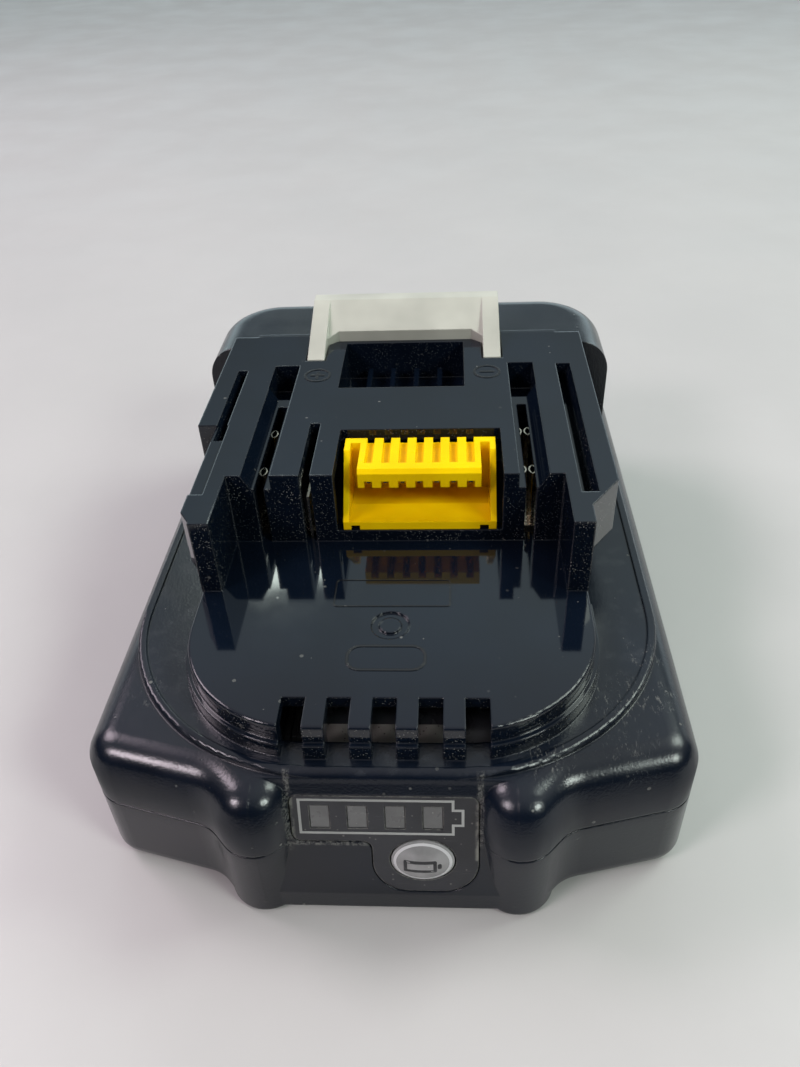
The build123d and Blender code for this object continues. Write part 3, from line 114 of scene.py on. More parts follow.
class PackSizes(bpy.types.PropertyGroup):
    """Sizes and places of the printed and moulded signs."""

    face_origin: bpy.props.FloatVectorProperty(
        name="Gauge face origin", description="Middle of the sloping gauge face", size=3,
        default=(0.0, -0.05375, 0.0135), unit="LENGTH")
    face_tilt: bpy.props.FloatProperty(
        name="Gauge face tilt", description="Turn of the gauge face about X from flat",
        default=radians(76.866), subtype="ANGLE", unit="ROTATION")
    film_level: bpy.props.FloatProperty(
        name="Film level", description="Height of the gauge film's surface over the gauge face",
        default=-0.00005, unit="LENGTH")
    print_height: bpy.props.FloatProperty(
        name="Print height", description="Thickness of the printed lines", default=0.00003, unit="LENGTH")
    line_width: bpy.props.FloatProperty(
        name="Line width", description="Width of the printed lines", default=0.00034, unit="LENGTH")
    battery_low: bpy.props.FloatVectorProperty(
        name="Battery sign low corner", description="Left and lower edge of the battery sign on the face",
        size=2, default=(-0.0108, 0.00055), unit="LENGTH")
    battery_high: bpy.props.FloatVectorProperty(
        name="Battery sign high corner", description="Right and upper edge of the battery sign on the face",
        size=2, default=(0.0085, 0.0061), unit="LENGTH")
    battery_nub: bpy.props.FloatVectorProperty(
        name="Battery sign nub", description="Length and height of the nub of the battery sign", size=2,
        default=(0.0012, 0.0027), unit="LENGTH")
    button_place: bpy.props.FloatVectorProperty(
        name="Button place", description="Middle of the check button on the face", size=2,
        default=(0.0045, -0.003594), unit="LENGTH")
    button_size: bpy.props.FloatVectorProperty(
        name="Button size", description="Half width and half height of the check button", size=2,
        default=(0.004, 0.0032), unit="LENGTH")
    button_level: bpy.props.FloatProperty(
        name="Button level", description="Height from which the signs drop on to the dome", default=0.004,
        unit="LENGTH")
    latch_travel: bpy.props.FloatProperty(
        name="Latch travel", description="How far the latch goes down", default=0.0052, unit="LENGTH")
    plate_level: bpy.props.FloatProperty(
        name="Plate level", description="Height of the terminal block's top", default=0.040, unit="LENGTH")
    platform_level: bpy.props.FloatProperty(
        name="Platform level", description="Height of the platform's top", default=0.028, unit="LENGTH")
    relief_height: bpy.props.FloatProperty(
        name="Relief height", description="Height of the raised moulding marks", default=0.00008,
        unit="LENGTH")
    sign_radius: bpy.props.FloatProperty(
        name="Polarity sign radius", description="Outer radius of the polarity signs", default=0.0023,
        unit="LENGTH")
    plus_place: bpy.props.FloatVectorProperty(
        name="Plus place", description="Place of the plus sign on the plate", size=2,
        default=(-0.0145, 0.0180), unit="LENGTH")
    minus_place: bpy.props.FloatVectorProperty(
        name="Minus place", description="Place of the minus sign on the plate", size=2,
        default=(0.0144, 0.0184), unit="LENGTH")
    pill_low: bpy.props.FloatVectorProperty(
        name="Pill low corner", description="Low corner of the round-ended frame", size=2,
        default=(-0.0055, -0.0392), unit="LENGTH")
    pill_high: bpy.props.FloatVectorProperty(
        name="Pill high corner", description="High corner of the round-ended frame", size=2,
        default=(0.0050, -0.0346), unit="LENGTH")
    panel_low: bpy.props.FloatVectorProperty(
        name="Panel low corner", description="Low corner of the square moulding frame", size=2,
        default=(-0.0082, -0.0272), unit="LENGTH")
    panel_high: bpy.props.FloatVectorProperty(
        name="Panel high corner", description="High corner of the square moulding frame", size=2,
        default=(0.0082, -0.0215), unit="LENGTH")


class PackColours(bpy.types.PropertyGroup):
    """Colours of the finishes, as they are written in the render."""

    case: bpy.props.FloatVectorProperty(
        name="Case", description="Black of the case", subtype="COLOR", size=3,
        default=(0.0026, 0.0052, 0.0110))
    dust: bpy.props.FloatVectorProperty(
        name="Dust", description="Pale grey dust", subtype="COLOR", size=3, default=(0.36, 0.36, 0.32))
    ivory: bpy.props.FloatVectorProperty(
        name="Latch", description="Ivory of the latch", subtype="COLOR", size=3,
        default=(0.49, 0.495, 0.43))
    yellow: bpy.props.FloatVectorProperty(
        name="Connector", description="Yellow of the connector", subtype="COLOR", size=3,
        default=(1.0, 0.62, 0.001))
    film: bpy.props.FloatVectorProperty(
        name="Film", description="Charcoal of the gauge film", subtype="COLOR", size=3,
        default=(0.016, 0.017, 0.021))
    sign: bpy.props.FloatVectorProperty(
        name="Sign", description="Grey of the printed signs", subtype="COLOR", size=3,
        default=(0.34, 0.35, 0.34))
    window: bpy.props.FloatVectorProperty(
        name="Window", description="Grey of the gauge windows", subtype="COLOR", size=3,
        default=(0.105, 0.107, 0.108))
    lens: bpy.props.FloatVectorProperty(
        name="Button", description="Grey under the clear button", subtype="COLOR", size=3,
        default=(0.27, 0.27, 0.272))
    floor: bpy.props.FloatVectorProperty(
        name="Floor", description="Pale grey of the floor", subtype="COLOR", size=3,
        default=(0.52, 0.51, 0.50))


class PackStage(bpy.types.PropertyGroup):
    """Camera and lights."""

    camera_place: bpy.props.FloatVectorProperty(
        name="Camera place", description="Where the camera stands", size=3,
        default=(0.00846, -0.11593, 0.11008), unit="LENGTH")
    camera_pitch: bpy.props.FloatProperty(
        name="Pitch", description="How far the camera looks down", default=radians(37.89), subtype="ANGLE",
        unit="ROTATION")
    camera_yaw: bpy.props.FloatProperty(
        name="Yaw", description="Turn of the camera to the left", default=radians(-4.37), subtype="ANGLE",
        unit="ROTATION")
    camera_roll: bpy.props.FloatProperty(
        name="Roll", description="Roll of the camera", default=radians(-3.0), subtype="ANGLE",
        unit="ROTATION")
    camera_lens: bpy.props.FloatProperty(
        name="Lens", description="Focal length on a 36 mm sensor", default=29.50, min=1.0, unit="CAMERA")
    left_power: bpy.props.FloatProperty(
        name="Left light", description="Power of the left panel", default=2.1, min=0.0, unit="POWER")
    right_power: bpy.props.FloatProperty(
        name="Right light", description="Power of the right panel", default=2.1, min=0.0, unit="POWER")
    side_power: bpy.props.FloatProperty(
        name="Side lights", description="Power of each of the two soft side lights", default=2.4, min=0.0,
        unit="POWER")
    window_power: bpy.props.FloatProperty(
        name="Window light", description="Power of the low window behind the pack", default=1.5, min=0.0,
        unit="POWER")
    floor_size: bpy.props.FloatProperty(
        name="Floor size", description="Width of the floor", default=5.0, unit="LENGTH")


# Node recipes


def maths(tree, operation, first, second=None):
    """A maths node fed by sockets or numbers."""
    made = tree.nodes.new("ShaderNodeMath")
    made.operation = operation
    for socket, value in zip(made.inputs, (first, second)):
        if value is None:
            continue
        if isinstance(value, bpy.types.NodeSocket):
            tree.links.new(value, socket)
        else:
            socket.default_value = value
    return made.outputs[0]


def times(tree, first, second):
    """One value times another."""
    return maths(tree, "MULTIPLY", first, second)


def plus(tree, first, second):
    """The sum of two values."""
    return maths(tree, "ADD", first, second)


def most(tree, first, second):
    """The larger of two values."""
    return maths(tree, "MAXIMUM", first, second)


def spread(tree, value, low, high, to_low=0.0, to_high=1.0):
    """A smooth step from one range to another."""
    made = tree.nodes.new("ShaderNodeMapRange")
    made.interpolation_type = "SMOOTHSTEP"
    tree.links.new(value, made.inputs["Value"])
    made.inputs["From Min"].default_value = low
    made.inputs["From Max"].default_value = high
    made.inputs["To Min"].default_value = to_low
    made.inputs["To Max"].default_value = to_high
    return made.outputs["Result"]


def noise(tree, place, scale, detail=3.0, rough=0.55):
    """Soft noise of a size, in cycles per metre."""
    made = tree.nodes.new("ShaderNodeTexNoise")
    tree.links.new(place, made.inputs["Vector"])
    made.inputs["Scale"].default_value = scale
    made.inputs["Detail"].default_value = detail
    made.inputs["Roughness"].default_value = rough
    return made.outputs["Fac"]


def uneven(tree, place, scale, low, high):
    """Soft noise that wanders from a low value to a high one."""
    return spread(tree, noise(tree, place, scale), 0.3, 0.7, low, high)


def stretched(tree, place, scale):
    """Object coordinates stretched along the axes."""
    made = tree.nodes.new("ShaderNodeMapping")
    tree.links.new(place, made.inputs["Vector"])
    made.inputs["Scale"].default_value = scale
    return made.outputs["Vector"]


def specks(tree, place, scale, size):
    """Small round specks scattered through space, of uneven size."""
    made = tree.nodes.new("ShaderNodeTexVoronoi")
    tree.links.new(place, made.inputs["Vector"])
    made.inputs["Scale"].default_value = scale
    pick = tree.nodes.new("ShaderNodeSeparateColor")
    tree.links.new(made.outputs["Color"], pick.inputs["Color"])
    reach = times(tree, maths(tree, "POWER", pick.outputs["Red"], 4.0), size)
    return spread(tree, maths(tree, "SUBTRACT", reach, made.outputs["Distance"]), 0.0, size * 0.3)


def tint(tree, factor, first, second):
    """A mix of two colours by a factor."""
    made = tree.nodes.new("ShaderNodeMix")
    made.data_type = "RGBA"
    tree.links.new(factor, made.inputs[0])
    for socket, value in ((made.inputs[6], first), (made.inputs[7], second)):
        if isinstance(value, bpy.types.NodeSocket):
            tree.links.new(value, socket)
        else:
            socket.default_value = (*value, 1.0)
    return made.outputs[2]


def relief(tree, height, depth, normal=None):
    """A bump of a depth in metres."""
    made = tree.nodes.new("ShaderNodeBump")
    tree.links.new(height, made.inputs["Height"])
    made.inputs["Distance"].default_value = depth
    if normal is not None:
        tree.links.new(normal, made.inputs["Normal"])
    return made.outputs["Normal"]


def broken_edge(tree, radius):
    """The normal with edges rounded over, and how close a point lies to such an edge."""
    made = tree.nodes.new("ShaderNodeBevel")
    made.samples = 6
    made.inputs["Radius"].default_value = radius
    plain = tree.nodes.new("ShaderNodeNewGeometry")
    turn = tree.nodes.new("ShaderNodeVectorMath")
    turn.operation = "DOT_PRODUCT"
    tree.links.new(made.outputs["Normal"], turn.inputs[0])
    tree.links.new(plain.outputs["Normal"], turn.inputs[1])
    return made.outputs["Normal"], spread(tree, turn.outputs["Value"], 0.72, 0.99, 1.0, 0.0)


def axes(tree, vector):
    """The three parts of a vector."""
    made = tree.nodes.new("ShaderNodeSeparateXYZ")
    tree.links.new(vector, made.inputs["Vector"])
    return made.outputs["X"], made.outputs["Y"], made.outputs["Z"]


def upwardness(tree):
    """How far the surface looks up: 1 on a level top and 0 on a wall."""
    made = tree.nodes.new("ShaderNodeNewGeometry")
    return axes(tree, made.outputs["True Normal"])[2]


def shaded(colour, share, lift=0.0):
    """A colour made darker or lighter."""
    return tuple(min(1.0, part * share + lift) for part in colour)


def start(name):
    """A new material, its tree, its shader and object coordinates."""
    material = bpy.data.materials.new(name)
    material.use_nodes = True
    tree = material.node_tree
    shader = tree.nodes["Principled BSDF"]
    place = tree.nodes.new("ShaderNodeTexCoord").outputs["Object"]
    return material, tree, shader, place


def near(tree, place, centre, reach):
    """A soft ball round a place: 1 in the middle and 0 past the reach."""
    made = tree.nodes.new("ShaderNodeVectorMath")
    made.operation = "DISTANCE"
    tree.links.new(place, made.inputs[0])
    made.inputs[1].default_value = centre
    return spread(tree, made.outputs["Value"], reach * 0.2, reach, 1.0, 0.0)


# Finishes


def moulded(name, colour, rough, grain=0.000006, grain_scale=2600.0, dust=0.15, edge=0.00012, wear=0.10,
            shine=0.5):
    """Moulded plastic: uneven gloss, fine grain, rubbed edges and dust in patches."""
    material, tree, shader, place = start(name)
    dust_colour = tuple(bpy.context.scene.pack_colours.dust)
    rounded, rim = broken_edge(tree, edge)
    patches = spread(tree, noise(tree, place, 55.0), 0.35, 0.68)
    fine = noise(tree, place, 700.0, 4.0)
    base = tint(tree, patches, shaded(colour, 0.86), shaded(colour, 1.12, 0.001))
    rubbed = times(tree, rim, spread(tree, noise(tree, place, 420.0), 0.45, 0.75, 0.0, wear))
    base = tint(tree, rubbed, base, shaded(colour, 1.5, 0.05))
    lying = specks(tree, place, 1400.0, 0.30)
    lying = times(tree, lying, spread(tree, noise(tree, place, 130.0), 0.42, 0.7))
    lying = times(tree, lying, dust)
    base = tint(tree, lying, base, dust_colour)
    tree.links.new(base, shader.inputs["Base Color"])
    level = uneven(tree, place, 240.0, rough * 0.86, rough * 1.16)
    level = plus(tree, level, times(tree, lying, 0.4))
    level = plus(tree, level, times(tree, rubbed, 0.3))
    tree.links.new(level, shader.inputs["Roughness"])
    height = plus(tree, noise(tree, place, grain_scale, 2.0), times(tree, fine, 0.25))
    tree.links.new(relief(tree, height, grain, rounded), shader.inputs["Normal"])
    shader.inputs["Specular IOR Level"].default_value = shine
    return material


def printed(name, colour, rough, dust):
    """Thin printed ink, almost without grain and not rubbed."""
    return moulded(name, colour, rough, grain=0.000002, grain_scale=3000.0, dust=dust,
                   edge=0.00002, wear=0.0)


def metal(name, colour, rough, streaks=(1.0, 1.0, 1.0)):
    """Drawn or plated metal: streaks, tarnish in patches and uneven gloss."""
    material, tree, shader, place = start(name)
    rounded, rim = broken_edge(tree, 0.00006)
    lines = noise(tree, stretched(tree, place, streaks), 1800.0, 3.0)
    stain = spread(tree, noise(tree, place, 300.0, 4.0), 0.45, 0.75, 0.0, 0.25)
    base = tint(tree, stain, colour, shaded(colour, 0.45))
    base = tint(tree, times(tree, rim, 0.3), base, shaded(colour, 1.25))
    tree.links.new(base, shader.inputs["Base Color"])
    shader.inputs["Metallic"].default_value = 1.0
    level = spread(tree, lines, 0.3, 0.7, rough * 0.8, rough * 1.3)
    level = plus(tree, level, times(tree, stain, 0.3))
    tree.links.new(level, shader.inputs["Roughness"])
    tree.links.new(relief(tree, lines, 0.000004, rounded), shader.inputs["Normal"])
    return material


def case_finish():
    """Black case: glossy platform and block, fine satin grain elsewhere, dust and scuffs."""
    colours = bpy.context.scene.pack_colours
    black = tuple(colours.case)
    dust_colour = tuple(colours.dust)
    material, tree, shader, place = start("case black")
    x, y, z = axes(tree, place)
    face_z = upwardness(tree)
    rounded, rim = broken_edge(tree, 0.00034)
    across = maths(tree, "ABSOLUTE", x)
    gloss = times(tree, spread(tree, z, *GLOSS_LEVEL), spread(tree, across, *GLOSS_HALF, 1.0, 0.0))
    gloss = times(tree, gloss, spread(tree, y, *GLOSS_END, 1.0, 0.0))
    satin = maths(tree, "SUBTRACT", 1.0, gloss)
    patches = spread(tree, noise(tree, place, 45.0), 0.35, 0.65)
    base = tint(tree, patches, shaded(black, 0.85), shaded(black, 1.25))
    # Dust: fine specks on the upright glossy walls, and larger ones in drifts on the flats
    upright = spread(tree, maths(tree, "ABSOLUTE", face_z), 0.25, 0.5, 1.0, 0.0)
    cloud = spread(tree, noise(tree, place, 210.0, 4.0), 0.40, 0.72)
    small = specks(tree, place, 6000.0, 0.60)
    large = specks(tree, place, 620.0, 0.20)
    grains = most(tree, small, times(tree, large, 0.45))
    on_walls = times(tree, times(tree, grains, upright), gloss)
    on_walls = times(tree, on_walls, plus(tree, 0.25, times(tree, cloud, 0.75)))
    on_walls = times(tree, on_walls, spread(tree, y, *DUST_END, 1.0, 0.4))
    drifts = spread(tree, noise(tree, place, 95.0), 0.42, 0.70, 0.10, 0.65)
    on_flats = times(tree, large, drifts)
    dusty = most(tree, times(tree, on_walls, 0.8), times(tree, on_flats, 0.55))
    # Scuffs on the ledge, and lint beside the gauge film
    along = stretched(tree, place, (1.0, 0.35, 1.0))
    scrape = spread(tree, noise(tree, along, 2100.0, 6.0, 0.75), 0.54, 0.68)
    for centre, reach, share in SCUFFS:
        scuff = times(tree, scrape, near(tree, place, centre, reach))
        dusty = most(tree, dusty, times(tree, scuff, share))
    beside = spread(tree, noise(tree, place, 1500.0, 6.0, 0.8), 0.42, 0.66)
    beside = times(tree, film_edge(tree, x, y, z), beside)
    dusty = most(tree, dusty, times(tree, beside, 0.42))
    base = tint(tree, dusty, base, dust_colour)
    # Edges that hands have rubbed
    worn = most(tree, rim, ledge_rim(tree, z))
    rubbed = times(tree, worn, spread(tree, noise(tree, place, 380.0, 4.0), 0.50, 0.72, 0.0, 0.16))
    base = tint(tree, rubbed, base, (0.16, 0.17, 0.18))
    tree.links.new(base, shader.inputs["Base Color"])
    shiny = uneven(tree, place, 160.0, 0.045, 0.08)
    soft = uneven(tree, place, 120.0, 0.19, 0.26)
    level = plus(tree, times(tree, shiny, gloss), times(tree, soft, satin))
    level = plus(tree, level, times(tree, dusty, 0.5))
    tree.links.new(level, shader.inputs["Roughness"])
    # Fine grain on the satin parts, and a faint wave in the gloss
    grain = times(tree, noise(tree, place, 3000.0, 2.0), satin)
    wave = times(tree, noise(tree, place, 120.0, 1.0), times(tree, gloss, 0.9))
    normal = relief(tree, grain, 0.000022, rounded)
    normal = relief(tree, wave, 0.000004, normal)
    tree.links.new(rounder(tree, normal, z), shader.inputs["Normal"])
    return material


def rounder(tree, normal, z):
    """A normal that leans up on the walls under the shoulder, as if the shoulder were rounder."""
    smooth = tree.nodes.new("ShaderNodeNewGeometry").outputs["Normal"]
    upward = most(tree, axes(tree, smooth)[2], 0.0)
    lean = maths(tree, "SUBTRACT", spread(tree, z, *LEAN_RANGE, 0.0, 0.5), upward)
    lean = times(tree, most(tree, lean, 0.0), spread(tree, z, *LEAN_END, 1.0, 0.0))
    step = tree.nodes.new("ShaderNodeCombineXYZ")
    tree.links.new(lean, step.inputs["Z"])
    moved = tree.nodes.new("ShaderNodeVectorMath")
    moved.operation = "ADD"
    tree.links.new(normal, moved.inputs[0])
    tree.links.new(step.outputs["Vector"], moved.inputs[1])
    made = tree.nodes.new("ShaderNodeVectorMath")
    made.operation = "NORMALIZE"
    tree.links.new(moved.outputs["Vector"], made.inputs[0])
    return made.outputs["Vector"]


def ledge_rim(tree, z):
    """The outer step of the ledge's rim, where hands rub it."""
    step = times(tree, spread(tree, z, *RIM_STEP), spread(tree, z, *RIM_TOP, 1.0, 0.0))
    return times(tree, step, 0.5)


def from_edges(tree, x, gap):
    """How far a point lies from the nearer upright edge of the film, or from a line past it by a gap."""
    left = maths(tree, "ABSOLUTE", plus(tree, x, FILM_LEFT + gap))
    right = maths(tree, "ABSOLUTE", maths(tree, "SUBTRACT", x, FILM_RIGHT + gap))
    return maths(tree, "MINIMUM", left, right)


def film_edge(tree, x, y, z):
    """A thin band on the case beside the gauge film and under its left part."""
    sides = from_edges(tree, x, LINT_GAP)
    beside = spread(tree, sides, 0.00020, 0.0006, 1.0, 0.0)
    beside = times(tree, beside, spread(tree, z, *LINT_HEIGHT))
    below = maths(tree, "ABSOLUTE", maths(tree, "SUBTRACT", z, FILM_FOOT))
    under = spread(tree, below, 0.0002, 0.0006, 1.0, 0.0)
    under = times(tree, under, spread(tree, x, *FOOT_END, 1.0, 0.0))
    under = times(tree, under, spread(tree, x, *FOOT_START))
    return times(tree, most(tree, beside, under), spread(tree, y, *LINT_FRONT))


def film_finish():
    """Printed film: charcoal, faintly grained, with hair scratches and a dusty rim."""
    colours = bpy.context.scene.pack_colours
    dark = tuple(colours.film)
    material, tree, shader, place = start("gauge film charcoal")
    x = axes(tree, place)[0]
    rounded, rim = broken_edge(tree, 0.0003)
    along = stretched(tree, place, (0.15, 1.0, 2.2))
    hairs = spread(tree, noise(tree, along, 1500.0, 3.0, 0.7), 0.62, 0.72)
    base = tint(tree, spread(tree, noise(tree, place, 120.0), 0.3, 0.7), dark, shaded(dark, 1.6))
    base = tint(tree, times(tree, hairs, 0.10), base, (0.22, 0.22, 0.22))
    edge = spread(tree, from_edges(tree, x, 0.0), 0.00015, 0.0006, 1.0, 0.0)
    edge = times(tree, edge, spread(tree, noise(tree, place, 650.0, 4.0), 0.40, 0.62))
    brim = times(tree, rim, spread(tree, noise(tree, place, 1500.0, 4.0), 0.32, 0.56))
    edge = most(tree, edge, brim)
    edge = most(tree, edge, times(tree, specks(tree, place, 1500.0, 0.28), 0.5))
    base = tint(tree, times(tree, edge, 0.6), base, tuple(colours.dust))
    tree.links.new(base, shader.inputs["Base Color"])
    level = uneven(tree, place, 260.0, 0.30, 0.42)
    tree.links.new(plus(tree, level, times(tree, edge, 0.3)), shader.inputs["Roughness"])
    grain = noise(tree, place, 3200.0, 1.0)
    tree.links.new(relief(tree, grain, 0.000008, rounded), shader.inputs["Normal"])
    return material


def lens_finish(name, colour, rough):
    """Clear moulding over a grey ground."""
    material, tree, shader, place = start(name)
    rounded = broken_edge(tree, 0.00012)[0]
    cloud = spread(tree, noise(tree, place, 330.0), 0.3, 0.7)
    base = tint(tree, cloud, shaded(colour, 0.86), shaded(colour, 1.15))
    base = tint(tree, times(tree, specks(tree, place, 1700.0, 0.26), 0.35), base, (0.6, 0.6, 0.56))
    tree.links.new(base, shader.inputs["Base Color"])
    tree.links.new(uneven(tree, place, 500.0, rough * 0.8, rough * 1.3), shader.inputs["Roughness"])
    wave = noise(tree, place, 900.0, 2.0)
    tree.links.new(relief(tree, wave, 0.000005, rounded), shader.inputs["Normal"])
    shader.inputs["Coat Weight"].default_value = 0.6
    shader.inputs["Coat Roughness"].default_value = 0.06
    return material


def board_finish():
    """Lacquered circuit board with copper tracks under the green."""
    material, tree, shader, place = start("board lacquer")
    rounded = broken_edge(tree, 0.00008)[0]
    tracks = tree.nodes.new("ShaderNodeTexBrick")
    tree.links.new(stretched(tree, place, (420.0, 420.0, 420.0)), tracks.inputs["Vector"])
    tracks.inputs["Color1"].default_value = (0.012, 0.085, 0.030, 1.0)
    tracks.inputs["Color2"].default_value = (0.018, 0.115, 0.042, 1.0)
    tracks.inputs["Mortar"].default_value = (0.006, 0.045, 0.016, 1.0)
    tracks.inputs["Mortar Size"].default_value = 0.06
    grime = spread(tree, noise(tree, place, 90.0), 0.4, 0.7, 0.0, 0.35)
    base = tint(tree, grime, tracks.outputs["Color"], (0.02, 0.05, 0.03))
    tree.links.new(base, shader.inputs["Base Color"])
    tree.links.new(uneven(tree, place, 300.0, 0.22, 0.38), shader.inputs["Roughness"])
    tree.links.new(relief(tree, tracks.outputs["Fac"], 0.00002, rounded), shader.inputs["Normal"])
    return material


def foam_finish():
    """Closed-cell foam with fine pores, painted dark inside them as painted shade."""
    material, tree, shader, place = start("foam")
    pores = specks(tree, place, 2600.0, 0.5)
    base = tint(tree, noise(tree, place, 400.0), (0.105, 0.098, 0.088), (0.19, 0.180, 0.165))
    # The pores get a near-black colour: painted shade inside the pits, along with their dent in the bump
    tree.links.new(tint(tree, pores, base, (0.03, 0.028, 0.025)), shader.inputs["Base Color"])
    tree.links.new(uneven(tree, place, 200.0, 0.78, 0.95), shader.inputs["Roughness"])
    tree.links.new(relief(tree, pores, -0.00003), shader.inputs["Normal"])
    return material


def floor_finish():
    """Plain pale floor with a faint mottling."""
    material, tree, shader, place = start("floor")
    pale = tuple(bpy.context.scene.pack_colours.floor)
    mottle = spread(tree, noise(tree, place, 14.0, 5.0, 0.6), 0.3, 0.7)
    base = tint(tree, mottle, shaded(pale, 0.97), shaded(pale, 1.02))
    tree.links.new(base, shader.inputs["Base Color"])
    tree.links.new(uneven(tree, place, 30.0, 0.38, 0.48), shader.inputs["Roughness"])
    return material


# Modelling


def deselect():
    """Object mode, with nothing selected."""
    if bpy.context.mode != "OBJECT":
        bpy.ops.object.mode_set(mode="OBJECT")
    bpy.ops.object.select_all(action="DESELECT")


def pick(piece):
    """One piece selected and active, and nothing else."""
    deselect()
    piece.select_set(True)
    bpy.context.view_layer.objects.active = piece


def edit_all():
    """Edit mode, with all of the active piece selected."""
    bpy.ops.object.mode_set(mode="EDIT")
    bpy.ops.mesh.select_all(action="SELECT")


def empty_out(width):
    """Leaves only a line of a width along the outline of the selected faces, and ends edit mode."""
    bpy.ops.mesh.inset(thickness=width)
    bpy.ops.mesh.delete(type="FACE")
    bpy.ops.object.mode_set(mode="OBJECT")


def keep_modifier(piece, kind, name, **settings):
    """Adds a modifier, sets it and applies it."""
    made = piece.modifiers.new(name, kind)
    for key, value in settings.items():
        setattr(made, key, value)
    bpy.context.view_layer.objects.active = piece
    bpy.ops.object.modifier_apply(modifier=made.name)


def flat_frame(name, low, high, level, corner, width, segments):
    """A thin outline lying flat: a plane with rounded corners, inset and emptied."""
    deselect()
    centre = ((low[0] + high[0]) / 2, (low[1] + high[1]) / 2, level)
    bpy.ops.mesh.primitive_plane_add(size=1.0, location=centre)
    piece = bpy.context.object
    piece.name = name
    piece.scale = (high[0] - low[0], high[1] - low[1], 1.0)
    bpy.ops.object.transform_apply(location=True, rotation=True, scale=True)
    edit_all()
    bpy.ops.mesh.bevel(offset=corner, segments=segments, affect="VERTICES")
    empty_out(width)
    return piece


def raise_sheet(piece, height):
    """Gives a flat outline its thickness, upwards, and points its faces outwards."""
    keep_modifier(piece, "SOLIDIFY", "thickness", thickness=height, offset=1.0)
    edit_all()
    bpy.ops.mesh.remove_doubles(threshold=WELD)
    bpy.ops.mesh.normals_make_consistent(inside=False)
    bpy.ops.object.mode_set(mode="OBJECT")


def join(pieces, name):
    """Joins pieces into one under a name."""
    deselect()
    for piece in pieces:
        piece.select_set(True)
    bpy.context.view_layer.objects.active = pieces[0]
    bpy.ops.object.join()
    pieces[0].name = name
    return pieces[0]


def lay_on_face(piece, sizes, level):
    """Turns a flat piece on to the gauge face and applies its place."""
    pick(piece)
    turn = Matrix.Rotation(sizes.face_tilt, 4, "X")
    out = turn @ Vector((0.0, 0.0, level))
    piece.matrix_world = Matrix.Translation(Vector(sizes.face_origin) + out) @ turn
    bpy.ops.object.transform_apply(location=True, rotation=True, scale=True)


def dress(piece, material):
    """Puts one material on a piece."""
    piece.data.materials.clear()
    piece.data.materials.append(material)


def finish_nodes(names, material):
    """Puts a material on CAD nodes."""
    for name in names:
        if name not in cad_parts:
            raise RuntimeError("no such node: " + name)
        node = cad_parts[name]
        if not node.data.materials:
            node.data.materials.append(material)
        for index in range(len(node.data.materials)):
            node.data.materials[index] = material


def annulus(name, radius, width, level, centre):
    """A thin flat ring."""
    deselect()
    bpy.ops.mesh.primitive_circle_add(
        vertices=48, radius=radius, fill_type="NGON", location=(*centre, level))
    piece = bpy.context.object
    piece.name = name
    bpy.ops.object.transform_apply(location=True, rotation=True, scale=True)
    edit_all()
    empty_out(width)
    return piece


def bar(name, centre, length, width, level):
    """A thin flat bar with rounded ends."""
    deselect()
    bpy.ops.mesh.primitive_plane_add(size=1.0, location=(*centre, level))
    piece = bpy.context.object
    piece.name = name
    piece.scale = (length, width, 1.0)
    bpy.ops.object.transform_apply(location=True, rotation=True, scale=True)
    edit_all()
    bpy.ops.mesh.bevel(offset=min(length, width) * 0.4, segments=4, affect="VERTICES")
    bpy.ops.object.mode_set(mode="OBJECT")
    return piece


class PACK_OT_case(bpy.types.Operator):
    """Finish the two case halves, the latch and the screws"""

    bl_idname = "pack.case"
    bl_label = "Case and latch"

    def execute(self, context):
        colours = context.scene.pack_colours
        finish_nodes(["upper_case", "lower_case"], case_finish())
        ivory = moulded("latch ivory", tuple(colours.ivory), 0.34, grain=0.000005, grain_scale=1500.0,
                        dust=0.25, edge=0.00025, wear=0.05)
        finish_nodes(["latch_hook"], ivory)
        pad = moulded("thumb pad", (0.012, 0.0125, 0.014), 0.36, grain=0.00002, dust=0.3,
                      edge=0.0002, wear=0.2)
        finish_nodes(["latch_button"], pad)
        finish_nodes(["case_screws", "board_screws"], metal("screw zinc", (0.20, 0.20, 0.21), 0.32))
        wire = metal("spring wire", (0.55, 0.55, 0.56), 0.26)
        for name in ("latch_spring_left", "latch_spring_right"):
            self.coil(name, wire, context.scene.pack_sizes.latch_travel)
        cover = moulded("gauge cover", (0.010, 0.0105, 0.013), 0.34, grain=0.00001, dust=0.4)
        finish_nodes(["gauge_cover"], cover)
        return {"FINISHED"}

    def coil(self, name, wire, travel):
        """A copy of a latch spring with its points merged, dressed in spring wire, in place of its CAD
        node.
        """
        piece = bpy.data.objects.new(name + "_coil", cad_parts[name].data.copy())
        bpy.context.collection.objects.link(piece)
        pick(piece)
        edit_all()
        bpy.ops.mesh.remove_doubles(threshold=WELD)
        bpy.ops.object.mode_set(mode="OBJECT")
        dress(piece, wire)
        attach(piece, CASE)
        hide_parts(name)
        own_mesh(piece)


class PACK_OT_terminals(bpy.types.Operator):
    """Finish the connector, the contacts and their base"""

    bl_idname = "pack.terminals"
    bl_label = "Terminals"

    def execute(self, context):
        colours = context.scene.pack_colours
        yellow = moulded("connector yellow", tuple(colours.yellow), 0.30, grain=0.000004,
                         grain_scale=1400.0, dust=0.12, edge=0.00018, wear=0.0, shine=0.05)
        finish_nodes(["signal_connector"], yellow)
        finish_nodes(["positive_contact", "negative_contact", "charge_contact", "signal_contacts"],
                     metal("contact tin", (0.70, 0.64, 0.52), 0.22, (1.0, 1.0, 0.2)))
        finish_nodes(["terminal_base"], moulded("terminal base", (0.012, 0.012, 0.013), 0.42, dust=0.4))
        return {"FINISHED"}


